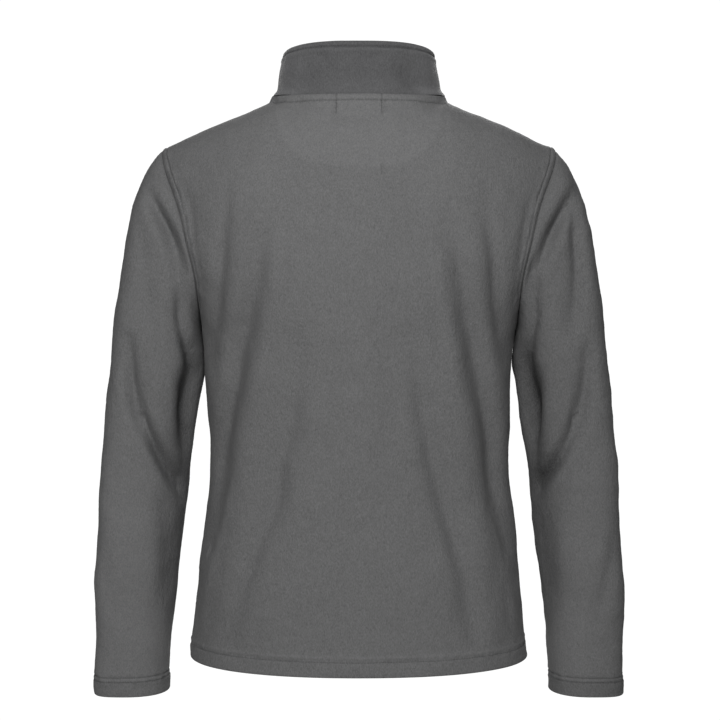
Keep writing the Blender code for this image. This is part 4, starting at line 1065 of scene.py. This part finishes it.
def make_front(name, side, grid, normals, fields, coat):
    flip = (side, 1, 1)
    grid, normals = grid * flip, normals * flip
    rise = panel_relief(grid, fields, FRONT_FOLDS + FRONT_CREASES, 200 if side > 0 else 300)
    double = band(fields["hem"], HEM_HEIGHT)
    beside = smooth_step(TAPE_OUTER_X, TAPE_OUTER_X + HEM_THINS_OVER, np.abs(grid[..., 0]))
    wall = CLOTH + (DOUBLE_CLOTH - CLOTH) * double * beside
    edge = np.maximum(rolled(fields["hem"], wall / 2), rolled(fields["placket"], CLOTH / 2))
    surfaces = make_walls(grid, normals, rise, wall, edge)
    close_seams(surfaces, (-1,))
    made = shell(name, *surfaces, coat, panel_tone(fields))
    declare(made, name)
    return surfaces[0], normals, fields


def make_collar(half, normals, coat):
    grid, normals = full_width(half), full_width(normals)
    height = (COLLAR_HEIGHT - collar_rows())[:, None] + 0 * grid[..., 0]
    down = collar_rows()[:, None] + 0 * grid[..., 0]
    at_front = grid[..., 1] < 0
    placket = np.where(at_front, np.abs(grid[..., 0]) - PLACKET_X, 1.0)
    rise = BAND_RISE / 2 * band(down, COLLAR_EDGE) + seam_dip(height)
    rise += stitched(down, COLLAR_STITCH, grid, 400) + roll(down, COLLAR_ROLL, COLLAR_ROLL_RISE)
    beside = smooth_step(*BASE_FLARE_FROM, np.abs(grid[..., 0]))
    rise += BASE_FLARE * beside * bell(height, BASE_FLARE_HEIGHT)
    clear = smooth_step(0, 0.012, np.minimum(height, down)) * ~at_front
    rise += clear * fold_rise(grid, COLLAR_DENTS)
    calm = smooth_step(0, 0.008, np.minimum(height, down)) * smooth_step(0, 0.012, placket)
    rise += uneven(grid, 430) * (0.15 + 0.5 * calm)
    thin = 1 - smooth_step(BESIDE_ZIP, BESIDE_ZIP + 0.006, placket)
    wall = DOUBLE_CLOTH - (DOUBLE_CLOTH - CLOTH) * thin
    edge = np.maximum(rolled(down, wall / 2), rolled(placket, CLOTH / 2))
    surfaces = make_walls(grid, normals, rise, wall, edge)
    for surface in surfaces:
        surface[0] += unit(surface[1] - surface[0]) * SEAM_GAP / 2
    # Painted shade in the collar's seam and stitch grooves, and painted highlight on the roll below the
    # stitches
    tone = line_tone(height, 0.0, SEAM_PAINTED_SHADE) + line_tone(down, COLLAR_STITCH, STITCH_PAINTED_SHADE)
    tone += line_tone(down, COLLAR_ROLL, ROLL_PAINTED_HIGHLIGHT)
    tone += COLLAR_LOW_TONE * (1 - smooth_step(*COLLAR_LOW, height)) - COLLAR_LOW_TONE / 3
    # Painted light at the collar's sides
    tone += COLLAR_SIDE_PAINTED_LIGHT * smooth_step(*COLLAR_SIDE, np.abs(grid[..., 0]))
    made = shell("collar", *surfaces, coat, tone)
    declare(made, "collar")
    return surfaces[0], normals, down


def make_sleeve(name, side, grid, around, back_folds, painted_shade, coat):
    normals = gradient_normals(grid, ring=True)
    from_armhole = lengths_along(grid, 0)
    from_cuff = from_end(grid, 0)
    normals = turn_to(normals, armhole_outwards(around)[None], from_armhole, 0.014)
    cuff = band(from_cuff, CUFF_HEIGHT)
    clear = smooth_step(0, SLEEVE_CLEAR, from_armhole)
    clear = clear * smooth_step(CUFF_HEIGHT, CUFF_HEIGHT + FOLD_CLEAR, from_cuff)
    behind = smooth_step(*FACING_FADE, normals[..., 1])
    before = smooth_step(*FACING_FADE, -normals[..., 1])
    folds = behind * fold_rise(grid, back_folds)
    folds += before * fold_rise(grid, SLEEVE_FRONT_FOLDS + SLEEVE_FRONT_CREASES)
    seed = 500 if side > 0 else 600
    rise = BAND_RISE * cuff + clear * folds + seam_dip(from_armhole)
    for i, at in enumerate(CUFF_STITCHES):
        rise += stitched(from_cuff, at, grid, seed + 10 * i)
    calm = smooth_step(0, 0.012, np.minimum(from_armhole, from_cuff))
    bumps = uneven(grid, seed + 30) * (0.15 + 0.85 * calm)
    bumps[:, -1] = bumps[:, 0]
    rise += bumps
    wall = CLOTH + (DOUBLE_CLOTH - CLOTH) * cuff
    edge = rolled(from_cuff, wall / 2)
    outer, inner = make_walls(grid, normals, rise, wall, edge)
    shift = armhole_axis() * SEAM_GAP / 2
    outer[0] += shift
    inner[0] += shift
    # Painted shade in the grooves of the armhole seam and the cuff stitches
    tone = line_tone(from_armhole, 0.0, SEAM_PAINTED_SHADE)
    for at in CUFF_STITCHES:
        tone = tone + line_tone(from_cuff, at, STITCH_PAINTED_SHADE)
    # Painted light down the forearm, and a darker cuff
    tone = tone + FOREARM_PAINTED_LIGHT * smooth_step(*FOREARM, from_armhole) + CUFF_TONE * cuff
    # Painted shade deep between sleeve and body and in the bend of the elbow
    tone = tone + behind * fold_rise(grid, painted_shade)
    # Painted shade on the back of the right sleeve, more on its outer side
    if side < 0:
        outer_side = smooth_step(*OUTER_SIDE, np.abs(grid[..., 0]))
        tone = tone + behind * (RIGHT_PAINTED_SHADE + RIGHT_OUTER_PAINTED_SHADE * outer_side)
    flip = (side, 1, 1)
    made = shell(name, outer * flip, inner * flip, coat, tone, ring=True)
    declare(made, name)
    return outer * flip, normals * flip, from_cuff


# ---- stitch lines


def line_across(outer, normals, field, level, columns):
    """Path where the field passes a level, found in each of some columns."""
    rows, used = [], []
    for column in columns:
        row = crossing(field[:, column], level)
        if row is not None:
            rows.append(row)
            used.append(float(column))
    rows, used = np.array(rows), np.array(used)
    return read(outer, rows, used), unit(read(normals, rows, used))


def line_along(outer, normals, field, level, flip=1):
    """Path beside the last column, or with a flip of -1 the first, where the field passes a level."""
    start = field.shape[1] // 3
    turned = (part[:, ::flip].swapaxes(0, 1)[start:] for part in (outer, normals, field))
    return line_across(*turned, level, range(len(field)))


def path_at(outer, normals, rows, places, at):
    """Path through the point of each of some rows whose place is the one asked for."""
    found = []
    for row in rows:
        order = np.argsort(places[row])
        both = np.concatenate([outer[row, order], normals[row, order]], axis=1)
        found.append([np.interp(at, places[row, order], values) for values in both.T])
    found = np.array(found)
    return found[:, :3], unit(found[:, 3:])


def placket_line(outer, normals):
    """Path up the front beside the zip, a set distance from the middle."""
    x = np.where(outer[..., 1] < 0, np.abs(outer[..., 0]), 1)
    return path_at(outer, normals, range(2, len(outer) - 2), x, ZIP_STITCH_X)


def stitch_all(back, fronts, collar, sleeves, coat):
    body = []
    panels = (back, (1, -1), 0, 0), (fronts[0], (1,), 2, 3), (fronts[1], (1,), 2, 3)
    for (outer, normals, fields), flips, hem_from, neck_from in panels:
        columns = range(hem_from, outer.shape[1])
        body.append(line_across(outer, normals, -fields["hem"], -HEM_STITCH, columns))
        for flip in flips:
            body.append(line_along(outer, normals, fields["armhole"], ARMHOLE_STITCH, flip))
        near = np.nonzero(np.abs(outer[-1, :, 0]) < NECKLINE.half_width)[0][neck_from:]
        body.append(line_across(outer, normals, fields["neckline"], NECK_STITCH, near))
        if fields is not back[2]:
            body.append(placket_line(outer, normals))
    outer, normals, down = collar
    columns = range(3, outer.shape[1] - 3)
    rim = [line_across(outer, normals, down, COLLAR_STITCH, columns)]
    middle = outer.shape[1] // 2
    for part in (slice(None, middle), slice(middle, None)):
        rim.append(placket_line(outer[:, part], normals[:, part]))
    cuffs = [
        line_across(outer, normals, from_cuff, at, range(outer.shape[1]))
        for outer, normals, from_cuff in sleeves
        for at in CUFF_STITCHES
    ]
    thread("thread_body", body, coat)
    thread("thread_sleeves", cuffs, coat)
    thread("thread_collar", rim, coat)


LABEL_TOP = -0.0035


def label_stitches(outer, normals, coat):
    """The two side stitch lines of the label that sits inside the neck."""
    paths = []
    for x in (-LABEL_HALF_WIDTH, LABEL_HALF_WIDTH):
        z = np.array([np.interp(x, row[:, 0], row[:, 2]) for row in outer])
        rows = np.nonzero((z > LABEL_TOP - LABEL_HEIGHT) & (z < LABEL_TOP))[0]
        paths.append(path_at(outer, normals, rows[rows >= LOW], outer[..., 0], x))
    thread("thread_label", paths, coat)


# ---- zip


def zip_path(front, front_normals, collar, collar_normals):
    """Rows of three points with normals up the +X side: middle, placket edge, tape's outer edge."""
    points, normals = [], []
    for grid, directions, columns in (
        (front, front_normals, (0, PLACKET_COLUMNS)),
        (collar[1:], collar_normals[1:], (-1, -1 - PLACKET_COLUMNS)),
    ):
        edge, outer = (grid[:, col] for col in columns)
        points.append(np.stack([edge * (0, 1, 1), edge, outer], axis=1))
        upright = unit(directions[:, columns[0]] * (0, 1, 1))
        normals.append(np.stack([upright, upright, directions[:, columns[1]]], axis=1))
    return np.concatenate(points), np.concatenate(normals)


def cut_path(path, at):
    """Points and normals of the path at some lengths from the hem."""
    points, normals = path
    lengths = lengths_along(points[:, 1:2], 0)[:, 0]
    flat = np.concatenate([points, normals], axis=-1).reshape(len(lengths), -1)
    found = np.stack([np.interp(at, lengths, values) for values in flat.T], axis=-1)
    found = found.reshape(len(at), *points.shape[1:-1], 6)
    return found[..., :3], unit(found[..., 3:])


def make_tape(name, side, path, total, coat):
    points, normals = cut_path(path, np.arange(TAPE_FROM_HEM, total - TAPE_FROM_TOP, 0.003))
    across = ((0, TAPE_INNER_X, 0.5), (0, TAPE_INNER_X + 0.0008, 1.0), (1, -0.0022, 1.0), (1, 0.0, 1.0),
              (1, 0.0045, 1.0), (2, -0.0008, 1.0), (2, 0.0, 0.5))
    behind = CLOTH + SEAM_GAP
    outer, inner = [], []
    for column, shift, full in across:
        place = points[:, column] + np.array((shift, 0, 0))
        middle = place - normals[:, column] * (behind + TAPE / 2)
        outer.append(middle + normals[:, column] * TAPE / 2 * full)
        inner.append(middle - normals[:, column] * TAPE / 2 * full)
    flip = (side, 1, 1)
    outer, inner = np.stack(outer, axis=1) * flip, np.stack(inner, axis=1) * flip
    made = shell(name, outer, inner, coat, np.zeros(outer.shape[:2]))
    declare(made, name)


TOOTH_PITCH, TOOTH_THICK = 0.0026, 0.00105
# Sections of one tooth: x from the middle, half height along the zip, half depth
TOOTH = ((-0.00075, 0.35, 0.45), (-0.00045, 0.95, 0.85), (0.00010, 1.0, 1.0), (0.0007, 0.66, 0.8),
         (0.0024, 0.66, 0.8), (0.0031, 0.62, 0.7), (0.0032, 0.3, 0.4))
TOOTH_SIDES = 6


def make_teeth(name, side, path, total, coat):
    start = FIRST_TOOTH + (TOOTH_PITCH / 2 if side < 0 else 0.0)
    at = np.arange(start, total - LAST_TOOTH_FROM_TOP - TOOTH_THICK, TOOTH_PITCH)
    points, normals = cut_path(path, at)
    middle, out = points[:, 0], normals[:, 0]
    up = unit(np.cross(np.array((-1.0, 0, 0)), out))
    middle = middle - out * (TEETH_TOP_DEPTH + TEETH_BACK_DEPTH) / 2
    half_depth = (TEETH_BACK_DEPTH - TEETH_TOP_DEPTH) / 2
    turn = np.arange(TOOTH_SIDES) * 2 * math.pi / TOOTH_SIDES
    rings = []
    for x, thick, deep in TOOTH:
        for angle in turn:
            offset = up * math.cos(angle) * thick * TOOTH_THICK / 2 * 1.1
            offset = offset + out * math.sin(angle) * deep * half_depth * 1.1
            rings.append(middle + offset + np.array((x, 0, 0)))
    corners, faces = bars(rings, TOOTH_SIDES)
    tooth = np.arange(len(at))[:, None] * len(rings)
    caps = np.array(((0, 1, 2, 3), (0, 3, 4, 5)))
    last = len(rings) - TOOTH_SIDES
    ends = [tooth + cap for cap in (*caps[:, ::-1], *(caps + last))]
    made = add_mesh(name, corners * (side, 1, 1), np.concatenate([faces, *ends]), coat)
    declare(made, name)


# ---- stage

CAMERA_DISTANCE = 1.70
EYE_HEIGHT = -0.315
CAMERA_X = -0.00124
LENS = 68.55
FLOOR_Z, FLOOR_SIZE = -1.45, 4.6
WORLD_LIGHT, WORLD_SHOWN = 0.06, 1.05


def add_light(name, place, target, size, power):
    data = bpy.data.lights.new(name, "AREA")
    data.shape = "RECTANGLE"
    data.size, data.size_y = size
    data.energy = power
    made = bpy.data.objects.new(name, data)
    made.location = place
    way = np.array(target, float) - np.array(place, float)
    flat = math.hypot(way[0], way[1])
    made.rotation_euler = (math.pi / 2 + math.atan2(way[2], flat), 0, math.atan2(-way[0], way[1]))
    bpy.context.scene.collection.objects.link(made)


def paper(tree, where, colour):
    cloud = noise(tree, where, 3, detail=3.0)
    return {"Base Color": tinted(tree, colour, (cloud, 0.01)), "Roughness": 0.9}


def make_stage():
    scene = bpy.context.scene
    camera = bpy.data.objects.new("camera", bpy.data.cameras.new("camera"))
    camera.data.lens = LENS
    camera.location = (CAMERA_X, CAMERA_DISTANCE, EYE_HEIGHT)
    camera.rotation_euler = (math.pi / 2, 0, math.pi)
    scene.collection.objects.link(camera)
    scene.camera = camera
    half = FLOOR_SIZE / 2
    corners = [(x * half, y * half, FLOOR_Z) for x, y in ((-1, -1), (1, -1), (1, 1), (-1, 1))]
    mesh = bpy.data.meshes.new("floor")
    mesh.from_pydata(corners, [], [(0, 1, 2, 3)])
    floor = bpy.data.objects.new("floor", mesh)
    scene.collection.objects.link(floor)
    mesh.materials.append(finish("floor_paper", paper, (0.86, 0.86, 0.85)))
    world = bpy.data.worlds.new("studio")
    scene.world = world
    world.use_nodes = True
    tree = world.node_tree
    lit, shown = (
        add_node(tree, "ShaderNodeBackground", {"Color": (1, 1, 1, 1), "Strength": strength})
        for strength in (WORLD_LIGHT, WORLD_SHOWN)
    )
    seen = add_node(tree, "ShaderNodeLightPath", output="Is Camera Ray")
    chosen = add_node(tree, "ShaderNodeMixShader", {0: seen, 1: lit, 2: shown})
    tree.links.new(chosen, tree.nodes["World Output"].inputs["Surface"])
    add_light("key", (0.12, 2.07, 0.74), (0, 0, -0.3), (1.0, 0.8), 52)
    add_light("top", (0, 0.6, 2.2), (0, 0, 0), (1.6, 1.2), 5)
    add_light("front_key", (-0.2, -1.9, 1.15), (0, 0, -0.3), (1.0, 0.8), 58)
    scene.view_settings.view_transform = "Standard"


# ---- assembly


def main():
    make_stage()
    body_cloth = finish("body_fleece_nap", fleece, (0.122, 0.122, 0.123), 0.03)
    sleeve_cloth = finish("sleeve_fleece_nap", fleece, (0.118, 0.118, 0.119), 0.03)
    collar_cloth = finish("collar_fleece_nap", fleece, (0.084, 0.084, 0.086), 0.25)
    grey_thread = finish("grey_thread", twisted, (0.060, 0.060, 0.062))
    tape = finish("zip_tape_weave", woven, (0.030, 0.030, 0.032))
    nylon = finish("zip_nylon", moulded, (0.022, 0.022, 0.024))
    metal = finish("zip_enamel", enamel, (0.080, 0.080, 0.084))

    (back, front), collar = panel_normals()
    backs = make_back(*back, body_cloth)
    fronts = [
        make_front("front_left", 1, *front, body_cloth),
        make_front("front_right", -1, *front, body_cloth),
    ]
    collars = make_collar(*collar, collar_cloth)
    grid, around = sleeve_surface()
    sleeves = [
        make_sleeve("sleeve_left", 1, grid, around, SLEEVE_LEFT_FOLDS + SLEEVE_LEFT_CREASES,
                    SLEEVE_LEFT_PAINTED_SHADE, sleeve_cloth),
        make_sleeve("sleeve_right", -1, grid, around, SLEEVE_RIGHT_FOLDS + SLEEVE_RIGHT_CREASES,
                    SLEEVE_RIGHT_PAINTED_SHADE, sleeve_cloth),
    ]
    stitch_all(backs, fronts, collars, sleeves, grey_thread)
    label_stitches(backs[0], backs[1], grey_thread)

    path = zip_path(front[0], front[1], *collar)
    total = lengths_along(path[0][:, 1:2], 0)[-1, 0]
    for word, side in (("left", 1), ("right", -1)):
        make_tape("zip_tape_" + word, side, path, total, tape)
        make_teeth("zip_teeth_" + word, side, path, total, nylon)
    for name in ("zip_box", "zip_stop_left", "zip_stop_right", "zip_slider", "zip_pull"):
        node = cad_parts[name]
        node.data.materials.clear()
        node.data.materials.append(metal)


main()
